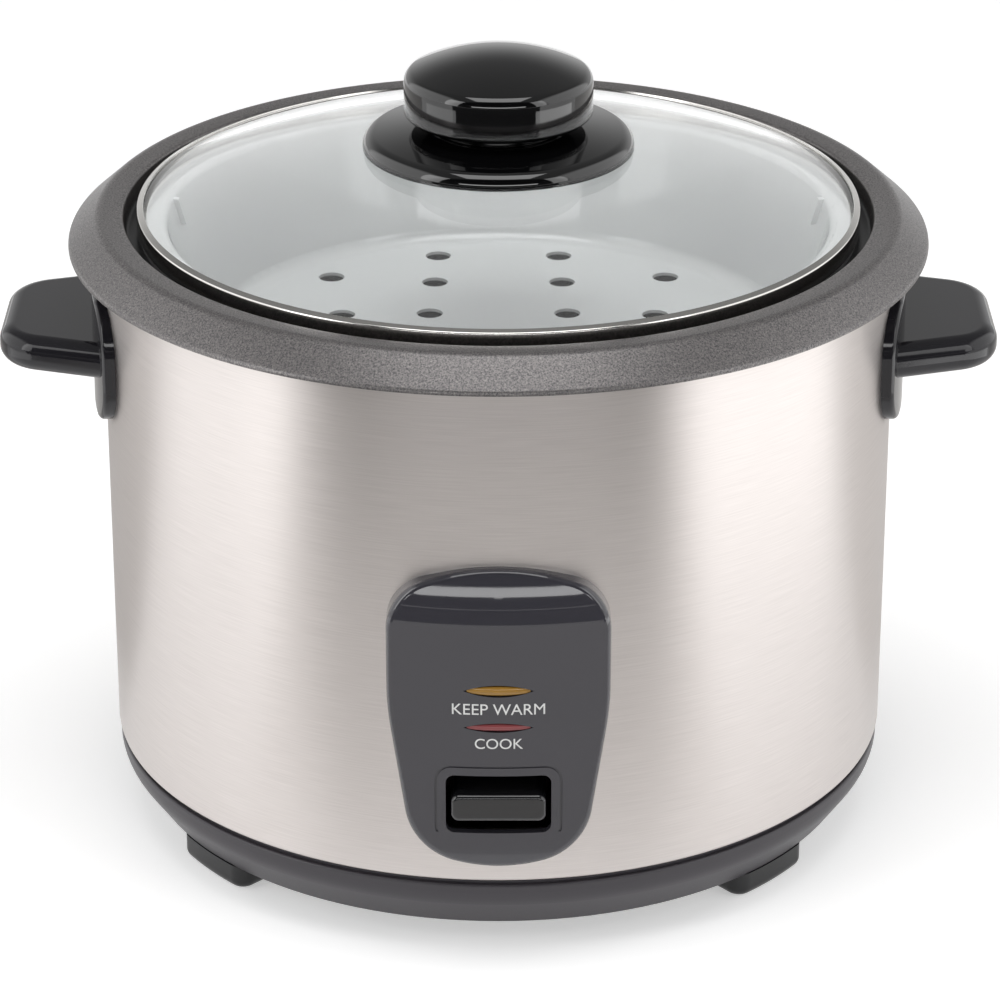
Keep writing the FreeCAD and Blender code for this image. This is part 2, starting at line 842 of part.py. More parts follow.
def knob_washer():
    """Steel washer that follows the underside of the glass."""
    return tube(knob_bore, washer_radius, washer_low(), glass_apex).common(glass_ball_at(glass_thickness))


def knob_screw():
    """Screw from under the lid into the knob."""
    length = knob_low + knob_screw_grip - washer_low()
    return screws([Vector(0, 0, washer_low())], UP, knob_screw_radius, length,
                  knob_screw_head, knob_screw_head_height)


def handle_screw_height():
    """Height of the handle screws, in the middle of the grip."""
    return grip_top - grip_thickness / 2


def handle_screw_angles():
    """Directions of the four handle screws, counted from +X."""
    spread = math.degrees(math.asin(handle_screw_spread / casing_radius))
    return [spread, -spread, half_turn + spread, half_turn - spread]


def grip_half_at(x):
    """Half width of the grip, which narrows from the casing to its tip."""
    return grip_half + (grip_tip_half - grip_half) * (x - casing_radius) / grip_reach


def right_handle():
    """Ear plate that hugs the casing and a grip that is hollow underneath."""
    ear_outline = rectangle(ear_width / 2, ear_top - ear_height, ear_top, ear_round)
    ear = sideways(ear_outline, casing_radius / 2, grip_tip).common(tube(casing_radius, ear_face, 0, knob_top))
    ear = ear.makeFillet(ear_edge, edges_at_radius(ear, ear_face))
    inside = plate_radius
    grip = level([(inside, -grip_half_at(inside), 0), (grip_tip, -grip_tip_half, grip_corner),
                  (grip_tip, grip_tip_half, grip_corner), (inside, grip_half_at(inside), 0)], grip_low, grip_top)
    level_edges = [edge for edge in grip.Edges if edge.BoundBox.ZLength < touch]
    grip = grip.makeFillet(grip_soft, level_edges)
    grip = grip.cut(Part.makeCylinder(casing_radius, knob_top))
    root = ear_face + grip_root
    tip = grip_tip - grip_side
    wide = grip_half_at(root) - grip_side
    narrow = grip_half_at(tip) - grip_side
    hollow = level([(root, -wide, grip_side), (tip, -narrow, grip_corner - grip_side),
                    (tip, narrow, grip_corner - grip_side), (root, wide, grip_side)],
                   grip_low - grip_wall, grip_top - grip_wall)
    handle = ear.fuse(grip).cut(hollow)
    for angle in handle_screw_angles()[:2]:
        hole = rod(Vector(0, 0, handle_screw_height()), RIGHT, handle_screw_radius + tongue_play,
                   casing_radius + handle_screw_grip + tongue_play)
        handle = handle.cut(around(hole, angle))
    return handle


def handle_screws():
    """Screws from inside the casing into the handles, their heads on the sheet."""
    seat = casing_inner - head_seat
    length = casing_radius + handle_screw_grip - seat
    spot = Vector(seat, 0, handle_screw_height())
    one = screws([spot], RIGHT, handle_screw_radius, length, handle_screw_head, handle_screw_head_height)
    return Part.makeCompound([around(one.Solids[0], angle) for angle in handle_screw_angles()])


def panel_screw_heights():
    """Heights of the two screws that hold the panel."""
    return [switch_z - boss_low, switch_z + boss_high]


def panel_outline():
    """Shield outline of the panel, wide at its shoulders and round at its foot."""
    return both_sides([
        (0, switch_z + panel_crown, panel_crown_round),
        (panel_half, switch_z + panel_shoulder, panel_shoulder_round),
        (panel_half, switch_z + panel_waist, panel_waist_round),
        (panel_foot_half, switch_z - panel_heel, panel_heel_round),
        (0, switch_z - panel_low, panel_low_round)])


def opening_outline(margin, rounding):
    """Outline of the switch opening, or of a frame at a margin round it."""
    low = switch_z + opening_lift - opening_height / 2
    return rectangle(opening_half + margin, low - margin, low + opening_height + margin, rounding)


def spindle(height, margin, rise, inner, outer):
    """Pointed spindle of a lens in the wall of the panel, or a wider one at a margin round it."""
    half = lens_half + margin
    tall = height / 2 + margin
    left, right, high, low = [Vector(x, -rim_radius, switch_z + rise + z)
                              for x, z in ((-half, 0), (half, 0), (0, tall), (0, -tall))]
    outline = Part.Wire([Part.Arc(left, high, right).toShape(), Part.Arc(right, low, left).toShape()])
    bar = Part.Face(outline).extrude(BACK * (rim_radius - plate_radius))
    return bar.common(tube(inner, outer, 0, knob_top))


def panel_skin(thinner):
    """Wall round the casing whose outer face rolls back at its top."""
    face = panel_face - thinner
    high = switch_z + panel_crown
    return turned([(casing_radius, 0, 0), (face, 0, 0), (face, switch_z + panel_roll_rise, panel_roll),
                   (face - panel_roll_depth, high, 0), (casing_radius, high, 0)])


def control_panel():
    """Hollow panel that stands on the casing, with windows for the lenses and the switch."""
    panel = frontal(panel_outline(), -rim_radius, -plate_radius).common(panel_skin(0))
    face_edges = [edge for edge in panel.Edges if edge.BoundBox.ZLength > touch
                  and all(math.hypot(end.X, end.Y) > casing_radius + touch for end in edge.Vertexes)]
    block = panel.makeFillet(panel_edge, face_edges)
    corners = [(Vector(x, -rim_radius, z), rounding) for x, z, rounding in panel_outline()]
    inset = Part.Face(rounded_wire(corners)).makeOffset2D(-panel_wall)
    hollow = inset.extrude(BACK * (rim_radius - plate_radius))
    panel = block.cut(hollow.common(panel_skin(panel_wall)))
    for height in panel_screw_heights():
        boss = rod(Vector(0, 0, height), BACK * -1, boss_radius, panel_inner + panel_wall / 2)
        panel = panel.fuse(boss.common(block))
    for height in panel_screw_heights():
        hole = rod(Vector(0, 0, height), BACK * -1, panel_screw_radius + tongue_play,
                   casing_radius + panel_screw_grip + tongue_play)
        panel = panel.cut(hole)
    panel = panel.cut(shell_front(opening_outline(0, opening_soft), plate_radius, rim_radius))
    panel = panel.cut(spindle(amber_height, lens_play, amber_rise, casing_radius, rim_radius))
    panel = panel.cut(spindle(red_height, lens_play, red_rise, casing_radius, rim_radius))
    groove_floor = panel_face - frame_depth
    groove = shell_front(opening_outline(frame_margin, frame_round), groove_floor, rim_radius)
    island = opening_outline(frame_margin - frame_line, frame_round - frame_line)
    groove = groove.cut(shell_front(island, plate_radius, rim_radius))
    below = switch_z + opening_lift - opening_height / 2
    keep = rectangle(panel_half, below, switch_z + panel_crown, 0)
    return panel.cut(groove.common(shell_front(keep, plate_radius, rim_radius)))


def lens(height, rise):
    """Coloured lens in its window, with a flange behind the panel's wall."""
    body = spindle(height, 0, rise, lens_back, panel_face + lens_proud)
    return body.fuse(spindle(height, lens_flange, rise, lens_back, panel_inner))


def lamp_holder():
    """Block behind the lenses with a trough for each lamp."""
    low = switch_z + red_rise - holder_end
    high = switch_z + amber_rise + holder_end
    back = lens_back - holder_depth
    block = shell_front(rectangle(holder_half, low - holder_lip, high + holder_lip, 0), back, panel_inner)
    block = block.cut(shell_front(rectangle(holder_half + lens_flange, low, high, 0), lens_back, panel_face))
    for rise in (red_rise, amber_rise):
        middle = switch_z + rise
        half = lamp_radius + lamp_room
        trough = rectangle(lamp_half + lamp_room, middle - half, middle + half, 0)
        block = block.cut(frontal(trough, -panel_face, lamp_y() + lamp_radius + lamp_play))
    return block


def lamp_y():
    """Middle of the lamps, close to the floor of their troughs."""
    return -(lens_back - holder_depth / 2)


def lamp(rise):
    """Small glass lamp that lies across the cooker."""
    return rod(Vector(-lamp_half, lamp_y(), switch_z + rise), RIGHT, lamp_radius, 2 * lamp_half)


def panel_screws():
    """Screws from inside the casing into the panel's bosses."""
    seat = casing_inner - head_seat
    length = casing_radius + panel_screw_grip - seat
    spots = [Vector(0, -seat, height) for height in panel_screw_heights()]
    return screws(spots, BACK * -1, panel_screw_radius, length, panel_screw_head, panel_screw_head_height)


def switch_button():
    """Rounded key in front of the lever's tongue."""
    front = -panel_face - button_proud
    back = -casing_radius + button_back
    half = button_height / 2
    key = frontal(rectangle(button_half, switch_z - half, switch_z + half, button_soft), front, back)
    rims = [edge for edge in key.Edges if edge.BoundBox.YMax < front + touch]
    key = key.makeFillet(button_edge, rims)
    gap = tongue_play
    slot_half = lever_sheet / 2 + gap
    slot = rectangle(lever_half + gap, switch_z - slot_half, switch_z + slot_half, 0)
    return key.cut(frontal(slot, -casing_radius + tongue_short - gap, back))


def switch_lever():
    """Cranked lever: fork at the magnet rod, ears on the pin, tongue in the button."""
    tongue_top = switch_z + lever_sheet / 2
    path = [(fork_reach, arm_top, 0), (-riser_y, arm_top, lever_bend), (-riser_y, tongue_top, lever_bend),
            (-casing_radius + tongue_short, tongue_top, 0)]
    strip = sideways(thickened(path, lever_sheet), -lever_half, lever_half)
    slot = rod_radius + fork_play
    strip = strip.cut(level([(-slot, -2 * slot, slot), (slot, -2 * slot, slot), (slot, 2 * fork_reach, 0),
                             (-slot, 2 * fork_reach, 0)], pan_top, arm_top + lever_sheet))
    ear_top_z = pivot_z + ear_half
    outline = [(pivot_y - ear_half, arm_low, 0), (pivot_y + ear_half, arm_low, 0),
               (pivot_y + ear_half, ear_top_z, ear_soft), (pivot_y - ear_half, ear_top_z, ear_soft)]
    ear = sideways(outline, lever_half - lever_sheet, lever_half)
    lever = strip.fuse([ear, mirrored(ear)])
    across = rod(Vector(-lever_width, pivot_y, pivot_z), RIGHT, pin_radius + pin_play, 2 * lever_width)
    return lever.cut(across)


def lever_pin():
    """Riveted pin through bracket and lever."""
    length = 2 * (bracket_outer + pin_head_thickness)
    start = -length / 2
    pin = rod(Vector(start, pivot_y, pivot_z), RIGHT, pin_radius, length)
    heads = [rod(Vector(x, pivot_y, pivot_z), RIGHT, pin_head, pin_head_thickness)
             for x in (start, bracket_outer)]
    return pin.fuse(heads)


def lever_bracket():
    """Folded bracket on the pan that holds the lever's pin and the microswitch."""
    front = pivot_y - bracket_front
    back = pivot_y + bracket_back
    plate = level([(-bracket_outer, front, 0), (bracket_outer, front, 0), (bracket_outer, back, 0),
                   (-bracket_outer, back, 0)], pan_top, bracket_top)
    high = pivot_z + ear_half
    outline = [(pivot_y - ear_half, pan_top, 0), (pivot_y + ear_half, pan_top, 0),
               (pivot_y + ear_half, high, ear_soft), (pivot_y - ear_half, high, ear_soft)]
    ear = sideways(outline, bracket_inner, bracket_outer)
    bracket = plate.fuse([ear, mirrored(ear)])
    bracket = bracket.cut(rod(Vector(-lever_width, pivot_y, pivot_z), RIGHT, pin_radius, 2 * lever_width))
    return drilled(bracket, bracket_screw_spots(0), UP, bracket_screw_radius + tongue_play, plate_low)


def bracket_screws():
    """Screws from under the pan into the bracket."""
    return screws(bracket_screw_spots(pan_low), UP, bracket_screw_radius, bracket_top - pan_low,
                  bracket_screw_head, bracket_screw_head_height)


def plunger_slot(play, low, high):
    """Upright block of the plunger, or of its hole with some play."""
    middle = pivot_y + microswitch_distance
    half = plunger_length / 2 + play
    across = plunger_width / 2 + play
    return level([(-across, middle - half, 0), (across, middle - half, 0), (across, middle + half, 0),
                  (-across, middle + half, 0)], low, high)


def microswitch():
    """Switch body on the bracket, under the lever's arm."""
    middle = pivot_y + microswitch_distance
    half = microswitch_width / 2
    high = bracket_top + microswitch_height
    body = level([(-half, middle - microswitch_length / 2, 0), (half, middle - microswitch_length / 2, 0),
                  (half, middle + microswitch_length / 2, 0), (-half, middle + microswitch_length / 2, 0)],
                 bracket_top, high)
    return body.cut(plunger_slot(plunger_play, high - plunger_depth, high))


def switch_plunger():
    """Plunger of the microswitch, held down by the lever's arm."""
    high = bracket_top + microswitch_height
    return plunger_slot(0, high - plunger_depth + plunger_play, arm_low - plunger_gap)


def heating_plate():
    """Cast plate with a hole for the sensor cap and a channel for the element."""
    hole = cap_radius + cap_play
    plate = turned([(hole, plate_low, 0), (plate_radius, plate_low, plate_soft),
                    (plate_radius, plate_top, plate_soft), (hole, plate_top, 0)])
    channel = Part.makeTorus(element_radius, element_tube + element_play, Vector(0, 0, plate_low), UP)
    plate = plate.cut(channel)
    return drilled(plate, pillar_spots(plate_low), UP, bolt_radius + tongue_play, bolt_grip + tongue_play)


def element_end(side, height):
    """Middle of an end of the element, beside the opening at the back."""
    angle = math.radians(quarter_turn + side * element_opening / 2)
    return Vector(element_radius * math.cos(angle), element_radius * math.sin(angle), height)


def heating_element():
    """Tubular element in its channel, with both ends turned down."""
    circle = Part.makeCircle(element_tube, element_end(1, plate_low),
                             UP.cross(element_end(1, 0)))
    sweep = full_turn - element_opening
    ring = Part.Face(Part.Wire(circle)).revolve(MIDDLE, UP, sweep)
    for side in (-1, 1):
        end = element_end(side, plate_low)
        ring = ring.fuse([Part.makeSphere(element_tube, end), rod(end, UP * -1, element_tube, element_leg)])
    return ring


def heater_terminals():
    """Pins at the two ends of the element."""
    pins = [rod(element_end(side, plate_low - element_leg), UP * -1, terminal_radius, terminal_length)
            for side in (-1, 1)]
    return Part.makeCompound(pins)


def plate_pillars():
    """Spacer tubes between pan and plate."""
    tubes = []
    for spot in pillar_spots(pan_top):
        outer = rod(spot, UP, pillar_radius, pillar_height)
        tubes.append(outer.cut(rod(spot, UP, bolt_radius + screw_play, pillar_height)))
    return Part.makeCompound(tubes)


def plate_bolts():
    """Bolts from under the pan, through the pillars, into the plate."""
    return screws(pillar_spots(pan_low), UP, bolt_radius, plate_low + bolt_grip - pan_low,
                  bolt_head, bolt_head_height)


def thermostat_sleeve():
    """Pressed sleeve under the plate with a guide tube for the magnet."""
    path = [(sleeve_bore + sleeve_flange, plate_low, 0), (sleeve_bore, plate_low, sleeve_sheet),
            (sleeve_bore, sleeve_floor, sleeve_sheet), (guide_outer, sleeve_floor, sleeve_sheet),
            (guide_outer, ferrite_low - guide_gap, 0)]
    sleeve = turned(thickened(path, sleeve_sheet))
    return sleeve.fuse(tube(rod_radius + rod_play, guide_outer, sleeve_floor - sleeve_sheet, sleeve_floor))


def sensor_cap():
    """Cap in the middle of the plate that the pot presses down."""
    path = [(cap_radius, plate_top - cap_height, 0), (cap_radius, plate_top, cap_soft), (0, plate_top, 0)]
    return turned(thickened(path, cap_sheet))


def ferrite_disc():
    """Disc under the sensor cap that loses its pull when the pot is hot."""
    return Part.makeCylinder(ferrite_radius, ferrite_thickness, Vector(0, 0, ferrite_low), UP)


def cap_spring():
    """Spring between the sleeve's floor and the sensor cap."""
    middle = (guide_outer + cap_radius - cap_sheet) / 2
    return coil(middle, cap_spring_wire, sleeve_floor + spring_seat, cap_under - spring_seat, cap_spring_turns)


def magnet():
    """Ring magnet on its holder."""
    return tube(magnet_bore, magnet_radius, magnet_low, magnet_top)


def magnet_rod():
    """Holder plate and rod, with two collars round the lever's fork."""
    upper = arm_top + collar_gap
    lower = arm_low - collar_gap
    tail = lower - collar_thickness - rod_tail
    return turned([
        (0, magnet_low, 0), (magnet_radius, magnet_low, 0), (magnet_radius, holder_low, 0),
        (rod_radius, holder_low, 0), (rod_radius, upper + collar_thickness, 0),
        (collar_radius, upper + collar_thickness, 0), (collar_radius, upper, 0), (rod_radius, upper, 0),
        (rod_radius, lower, 0), (collar_radius, lower, 0), (collar_radius, lower - collar_thickness, 0),
        (rod_radius, lower - collar_thickness, 0), (rod_radius, tail, 0), (0, tail, 0)])


def magnet_spring():
    """Spring inside the ring magnet that pushes it away from the ferrite disc."""
    middle = magnet_bore * 2 / 3
    return coil(middle, magnet_spring_wire, magnet_low + spring_seat, ferrite_low - spring_seat,
                magnet_spring_turns)


def warm_thermostat():
    """Keep-warm thermostat with two ears, flat against the plate."""
    body = rod(Vector(side_parts_radius, 0, plate_low - warm_height), UP, warm_radius, warm_height)
    across = warm_ear_width / 2
    ears = level([(side_parts_radius - across, -warm_ear_half, 0), (side_parts_radius + across, -warm_ear_half, 0),
                  (side_parts_radius + across, warm_ear_half, 0), (side_parts_radius - across, warm_ear_half, 0)],
                 plate_low - warm_ear_thickness, plate_low)
    return body.fuse(ears)


def fuse_height():
    """Middle of the fuse under the plate."""
    return plate_low - fuse_radius - fuse_play


def thermal_fuse():
    """Fuse that lies against the plate under its clip."""
    return rod(Vector(-side_parts_radius, -fuse_length / 2, fuse_height()), BACK, fuse_radius, fuse_length)


def fuse_clip():
    """Folded strap that holds the fuse to the plate."""
    half = fuse_radius + fuse_play
    low = fuse_height() - half
    middle = -side_parts_radius
    path = [(middle + half + clip_tab, plate_low, 0), (middle + half, plate_low, 0),
            (middle + half, low, clip_soft), (middle - half, low, clip_soft), (middle - half, plate_low, 0),
            (middle - half - clip_tab, plate_low, 0)]
    return frontal(thickened(path, clip_sheet), -clip_width / 2, clip_width / 2)


def inlet_housing():
    """Appliance inlet through the back of the casing, its flange shaped to the drum."""
    low = inlet_z - inlet_half_height
    high = inlet_z + inlet_half_height
    flange_low = inlet_z - inlet_flange_half_height
    flange_high = inlet_z + inlet_flange_half_height
    flange = frontal(rectangle(inlet_flange_half, flange_low, flange_high, inlet_soft), inlet_back, inlet_face)
    flange = flange.cut(Part.makeCylinder(casing_radius, knob_top))
    body = frontal(rectangle(inlet_half, low, high, inlet_soft - inlet_play), inlet_back, inlet_face)
    housing = body.fuse(flange)
    socket = rectangle(socket_half, inlet_z - socket_half_height, inlet_z + socket_half_height, socket_soft)
    housing = housing.cut(frontal(socket, socket_floor, inlet_face + inlet_flange_proud))
    for blade in inlet_blades():
        housing = housing.cut(blade)
    for spot in inlet_screw_spots():
        housing = housing.cut(rod(spot, BACK * -1, inlet_screw_radius + screw_play, inlet_inside))
    return housing


def inlet_blades():
    """Three flat blades from behind the housing into its socket."""
    start = inlet_back - blade_tail
    end = socket_floor + blade_length
    spots = [(-blade_spread, -blade_low), (blade_spread, -blade_low), (0, blade_earth)]
    blades = []
    for x, rise in spots:
        outline = [(x - blade_half_width, inlet_z + rise - blade_half_height, 0),
                   (x + blade_half_width, inlet_z + rise - blade_half_height, 0),
                   (x + blade_half_width, inlet_z + rise + blade_half_height, 0),
                   (x - blade_half_width, inlet_z + rise + blade_half_height, 0)]
        blades.append(frontal(outline, start, end))
    return blades


def inlet_screw_spots():
    """Seats of the two screws on the inlet's flange."""
    return [Vector(side * inlet_screw_spread, inlet_face, inlet_z) for side in (-1, 1)]


def inlet_screws():
    """Screws through the inlet's flange into the casing."""
    reach = inlet_face - math.sqrt(casing_inner ** 2 - inlet_screw_spread ** 2) + inlet_screw_end
    return screws(inlet_screw_spots(), BACK * -1, inlet_screw_radius, reach,
                  inlet_screw_head, inlet_screw_head_height)


def leads():
    """Wires from the inlet's blades to the fuse, the element and the pan; each leaves its blade straight."""
    tail = inlet_back - blade_tail
    side = inlet_z - blade_low
    fuse_end = fuse_length / 2
    pin = element_end(-1, plate_low - element_leg - terminal_length)
    live = [(-blade_spread, tail, side), (-blade_spread, tail - lead_start, side),
            (-lead_turn, tail - lead_turn, side - lead_sag), (-lead_far, tail - lead_far, side - lead_sag),
            (-side_parts_radius + lead_aside, fuse_end + lead_run, fuse_height()),
            (-side_parts_radius, fuse_end + lead_run / 2, fuse_height()),
            (-side_parts_radius, fuse_end, fuse_height())]
    neutral = [(blade_spread, tail, side), (blade_spread, tail - lead_start, side),
               (pin.x, tail - lead_bow, pin.z - lead_start), (pin.x, pin.y + lead_stand, pin.z - lead_start * 2),
               (pin.x, pin.y, pin.z - lead_hang), (pin.x, pin.y, pin.z)]
    earth_top = inlet_z + blade_earth
    earth = [(0, tail, earth_top), (0, tail - lead_start, earth_top),
             (lead_aside, tail - lead_turn, earth_top - lead_fall),
             (lead_aside, tail - lead_bow, pan_top + lead_stand), (lead_aside, tail - lead_bow, pan_top)]
    return {"live_lead": lead(live), "neutral_lead": lead(neutral), "earth_lead": lead(earth)}


def all_nodes():
    """Every piece of the cooker by name."""
    nodes = {
        "inner_pot": inner_pot(),
        "steamer_basket": steamer_basket(),
        "lid_glass": lid_glass(),
        "lid_band": lid_band(),
        "lid_knob": lid_knob(),
        "knob_base": knob_base(),
        "knob_gasket": knob_gasket(),
        "knob_washer": knob_washer(),
        "knob_screw": knob_screw(),
        "casing": casing(),
        "base_ring": base_ring(),
        "base_screws": base_screws(),
        "bottom_pan": bottom_pan(),
        "right_handle": right_handle(),
        "left_handle": mirrored(right_handle()),
        "handle_screws": handle_screws(),
        "control_panel": control_panel(),
        "amber_lens": lens(amber_height, amber_rise),
        "red_lens": lens(red_height, red_rise),
        "lamp_holder": lamp_holder(),
        "warm_lamp": lamp(amber_rise),
        "cook_lamp": lamp(red_rise),
        "panel_screws": panel_screws(),
        "switch_button": switch_button(),
        "switch_lever": switch_lever(),
        "lever_pin": lever_pin(),
        "lever_bracket": lever_bracket(),
        "bracket_screws": bracket_screws(),
        "microswitch": microswitch(),
        "switch_plunger": switch_plunger(),
        "heating_plate": heating_plate(),
        "heating_element": heating_element(),
        "heater_terminals": heater_terminals(),
        "plate_pillars": plate_pillars(),
        "plate_bolts": plate_bolts(),
        "thermostat_sleeve": thermostat_sleeve(),
        "sensor_cap": sensor_cap(),
        "ferrite_disc": ferrite_disc(),
        "cap_spring": cap_spring(),
        "magnet": magnet(),
        "magnet_rod": magnet_rod(),
        "magnet_spring": magnet_spring(),
        "warm_thermostat": warm_thermostat(),
        "thermal_fuse": thermal_fuse(),
        "fuse_clip": fuse_clip(),
        "inlet_housing": inlet_housing(),
        "inlet_pins": Part.makeCompound(inlet_blades()),
        "inlet_screws": inlet_screws(),
    }
    for name, angle in foot_angles().items():
        nodes[name + "_foot"] = foot(angle)
    nodes.update(leads())
    return nodes


os.makedirs("parts", exist_ok=True)
for node, shape in all_nodes().items():
    shape.exportStep(os.path.join("parts", node + ".step"))
    print(node, shape.isValid(), len(shape.Solids), round(shape.Volume, 1))
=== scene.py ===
"""Looks of the rice cooker: smooth shells, lettering, finishes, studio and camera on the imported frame."""
import bmesh
import bpy
import json
import math
import numpy as np
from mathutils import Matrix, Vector


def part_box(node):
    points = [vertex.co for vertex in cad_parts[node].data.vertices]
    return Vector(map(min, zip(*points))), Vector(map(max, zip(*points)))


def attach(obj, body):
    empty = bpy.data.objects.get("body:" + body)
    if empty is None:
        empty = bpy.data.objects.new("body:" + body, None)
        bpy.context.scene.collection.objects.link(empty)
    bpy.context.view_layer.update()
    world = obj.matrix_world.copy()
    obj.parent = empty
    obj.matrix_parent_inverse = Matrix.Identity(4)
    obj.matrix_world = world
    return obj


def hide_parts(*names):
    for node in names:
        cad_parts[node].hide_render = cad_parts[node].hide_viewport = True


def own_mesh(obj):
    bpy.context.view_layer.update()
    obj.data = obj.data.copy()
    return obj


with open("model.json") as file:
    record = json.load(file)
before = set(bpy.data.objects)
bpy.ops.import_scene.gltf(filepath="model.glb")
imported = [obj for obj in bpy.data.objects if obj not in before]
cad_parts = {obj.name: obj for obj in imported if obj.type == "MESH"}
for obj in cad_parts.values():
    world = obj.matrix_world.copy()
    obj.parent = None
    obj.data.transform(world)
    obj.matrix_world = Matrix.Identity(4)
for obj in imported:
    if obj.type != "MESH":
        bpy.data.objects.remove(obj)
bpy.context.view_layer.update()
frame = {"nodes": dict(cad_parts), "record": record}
slots = {row["node"]: row["material_slot"] for row in frame["record"]["subparts"]}

# Sizes in millimetres, the solids' own where a solid has them. A path lists corners as (r, z, rounding).
MM = 0.001
pot_wall = 1.5
mouth_radius = 114.3
rim_radius = 131.29
pot_path = [(0, 61.5, 0), (102.0, 61.5, 22.0), (104.0, 188.5, 1.2), (mouth_radius, 188.5, 1.6),
            (mouth_radius, 194.7, 1.2), (122.0, 195.2, 4.0), (rim_radius, 187.0, 1.8), (rim_radius, 186.0, 0)]
dome_radius = 305.48
dome_centre = -88.98
glass_thickness = 4.0
glass_edge = 109.5
glass_hole = 4.2
band_path = [(106.5, 190.5, 0), (110.3, 190.5, 0.7), (110.3, 196.48, 0.7), (108.4, 197.2, 0)]
band_sheet = 0.5
knob_radius = 28.7
knob_path = [(0, 220.9, 0), (18.55, 220.9, 0.3), (18.55, 222.35, 0.3), (20.0, 222.35, 0.3),
             (20.0, 223.8, 0.3), (27.5, 223.8, 0.5), (knob_radius, 225.0, 0.8), (knob_radius, 233.0, 0)]
knob_edge = 4.0
knob_dome = 62.0
knob_top = 243.9
skirt_path = [(0, 220.9, 0), (22.6, 220.9, 2.6), (41.3, 218.1, 4.2), (41.3, 213.7, 0.2), (20.0, 215.8, 0),
              (0, 216.4, 0)]
casing_radius = 121.5
casing_sheet = 0.8
casing_foot = 26.3
casing_top = 189.0
switch_low = 44.0
switch_high = 108.0
inlet_low = 37.9
inlet_high = 58.1
casing_path = [(101.0, casing_foot, 0), (casing_radius, casing_foot, 1.4)]
casing_path += [(casing_radius, level, 0) for level in (inlet_low, switch_low, inlet_high, switch_high)]
casing_path += [(casing_radius, casing_top, 1.4), (117.5, casing_top, 0)]
# Openings of the casing: way from the front and half width in degrees, lower and upper edge
switch_window = (0, 10.0, switch_low, switch_high)
inlet_window = (180, 6.5, inlet_low, inlet_high)
panel_face = 129.0
lens_crown = 0.55
lens_sunk = -0.25
lens_depth = 3.0
# Lenses: height on the panel, half width, half height
amber_oval = (93.0, 9.3, 1.35)
red_oval = (81.2, 9.3, 1.0)
# Printed words: height on the panel, height of the capitals
warm_row = (87.0, 3.5)
cook_row = (75.9, 3.3)
print_height = 0.05
spring_wire = 0.35
spring_turns = 4
# Capitals of the font as a share of its size
capital_share = 0.7
# Counts of points along the dome and round the knob
dome_steps = 40
knob_around = 192
# Height of the studio's gloss cards over its floor, in millimetres
card_height = 0.5
# Grains of the finishes in millimetres
cloud_grain = 40
streak_length = 18
streak_height = 0.4
flake_grain = 0.5
smear_grain = 25
fibre_grain = 3


def linear(code):
    """Linear red, green, blue and alpha of an sRGB hex colour."""
    parts = [int(code[i:i + 2], 16) / 255 for i in (1, 3, 5)]
    return tuple(c / 12.92 if c <= 0.04045 else ((c + 0.055) / 1.055) ** 2.4 for c in parts) + (1.0,)


def shade(code, factor):
    """A hex colour made lighter or darker in linear light."""
    return tuple(min(1.0, c * factor) for c in linear(code)[:3]) + (1.0,)


def add(tree, kind, inputs=None, **settings):
    """Adds a node with its settings; each input, by name or number, takes a value or a link to a socket."""
    made = tree.nodes.new(kind)
    for name, value in settings.items():
        setattr(made, name, value)
    for name, value in (inputs or {}).items():
        if isinstance(value, bpy.types.NodeSocket):
            tree.links.new(value, made.inputs[name])
        else:
            made.inputs[name].default_value = value
    return made


def finish(name, **values):
    """Material with one Principled shader, its sockets set by name: material, tree, shader and place."""
    material = bpy.data.materials.new(name)
    material.use_nodes = True
    tree = material.node_tree
    shader = tree.nodes["Principled BSDF"]
    for socket, value in values.items():
        shader.inputs[socket.replace("_", " ")].default_value = value
    where = add(tree, "ShaderNodeTexCoord").outputs["Object"]
    return material, tree, shader, where


def surface(tree, shader, colour, grain, glossy, dull, relief):
    """Links a colour to the shader, and a grain to its roughness and its relief in mm."""
    tree.links.new(colour, shader.inputs["Base Color"])
    gloss = add(tree, "ShaderNodeMapRange", {"Value": grain, "To Min": glossy, "To Max": dull})
    tree.links.new(gloss.outputs["Result"], shader.inputs["Roughness"])
    bump = add(tree, "ShaderNodeBump", {"Height": grain, "Strength": 0.3, "Distance": relief * MM})
    tree.links.new(bump.outputs["Normal"], shader.inputs["Normal"])


def moulded(name, code, roughness, grain=0.5, relief=0.004, tone=0.06, **values):
    """Moulded plastic: the mould's skin, grain in mm, moves gloss and relief; slow clouds move the tone."""
    material, tree, shader, where = finish(name, **values)
    skin = add(tree, "ShaderNodeTexNoise", {"Vector": where, "Scale": 1 / (grain * MM), "Detail": 3.0})
    cloud = add(tree, "ShaderNodeTexNoise", {"Vector": where, "Scale": 1 / (cloud_grain * MM), "Detail": 1.0})
    colours = {0: cloud.outputs["Fac"], 6: shade(code, 1 - tone), 7: shade(code, 1 + tone)}
    tint = add(tree, "ShaderNodeMix", colours, data_type="RGBA")
    surface(tree, shader, tint.outputs[2], skin.outputs["Fac"], roughness * 0.85, roughness * 1.15, relief)
    return material


def plain_metal(name, code, roughness, grain=0.6, relief=0.01):
    """Rolled, cast or plated metal: a grain in mm that moves tone, gloss and relief together."""
    material, tree, shader, where = finish(name, Metallic=1.0)
    skin = add(tree, "ShaderNodeTexNoise", {"Vector": where, "Scale": 1 / (grain * MM), "Detail": 4.0})
    colours = {0: skin.outputs["Fac"], 6: shade(code, 0.84), 7: linear(code)}
    tint = add(tree, "ShaderNodeMix", colours, data_type="RGBA")
    surface(tree, shader, tint.outputs[2], skin.outputs["Fac"], roughness * 0.8, roughness * 1.25, relief)
    return material


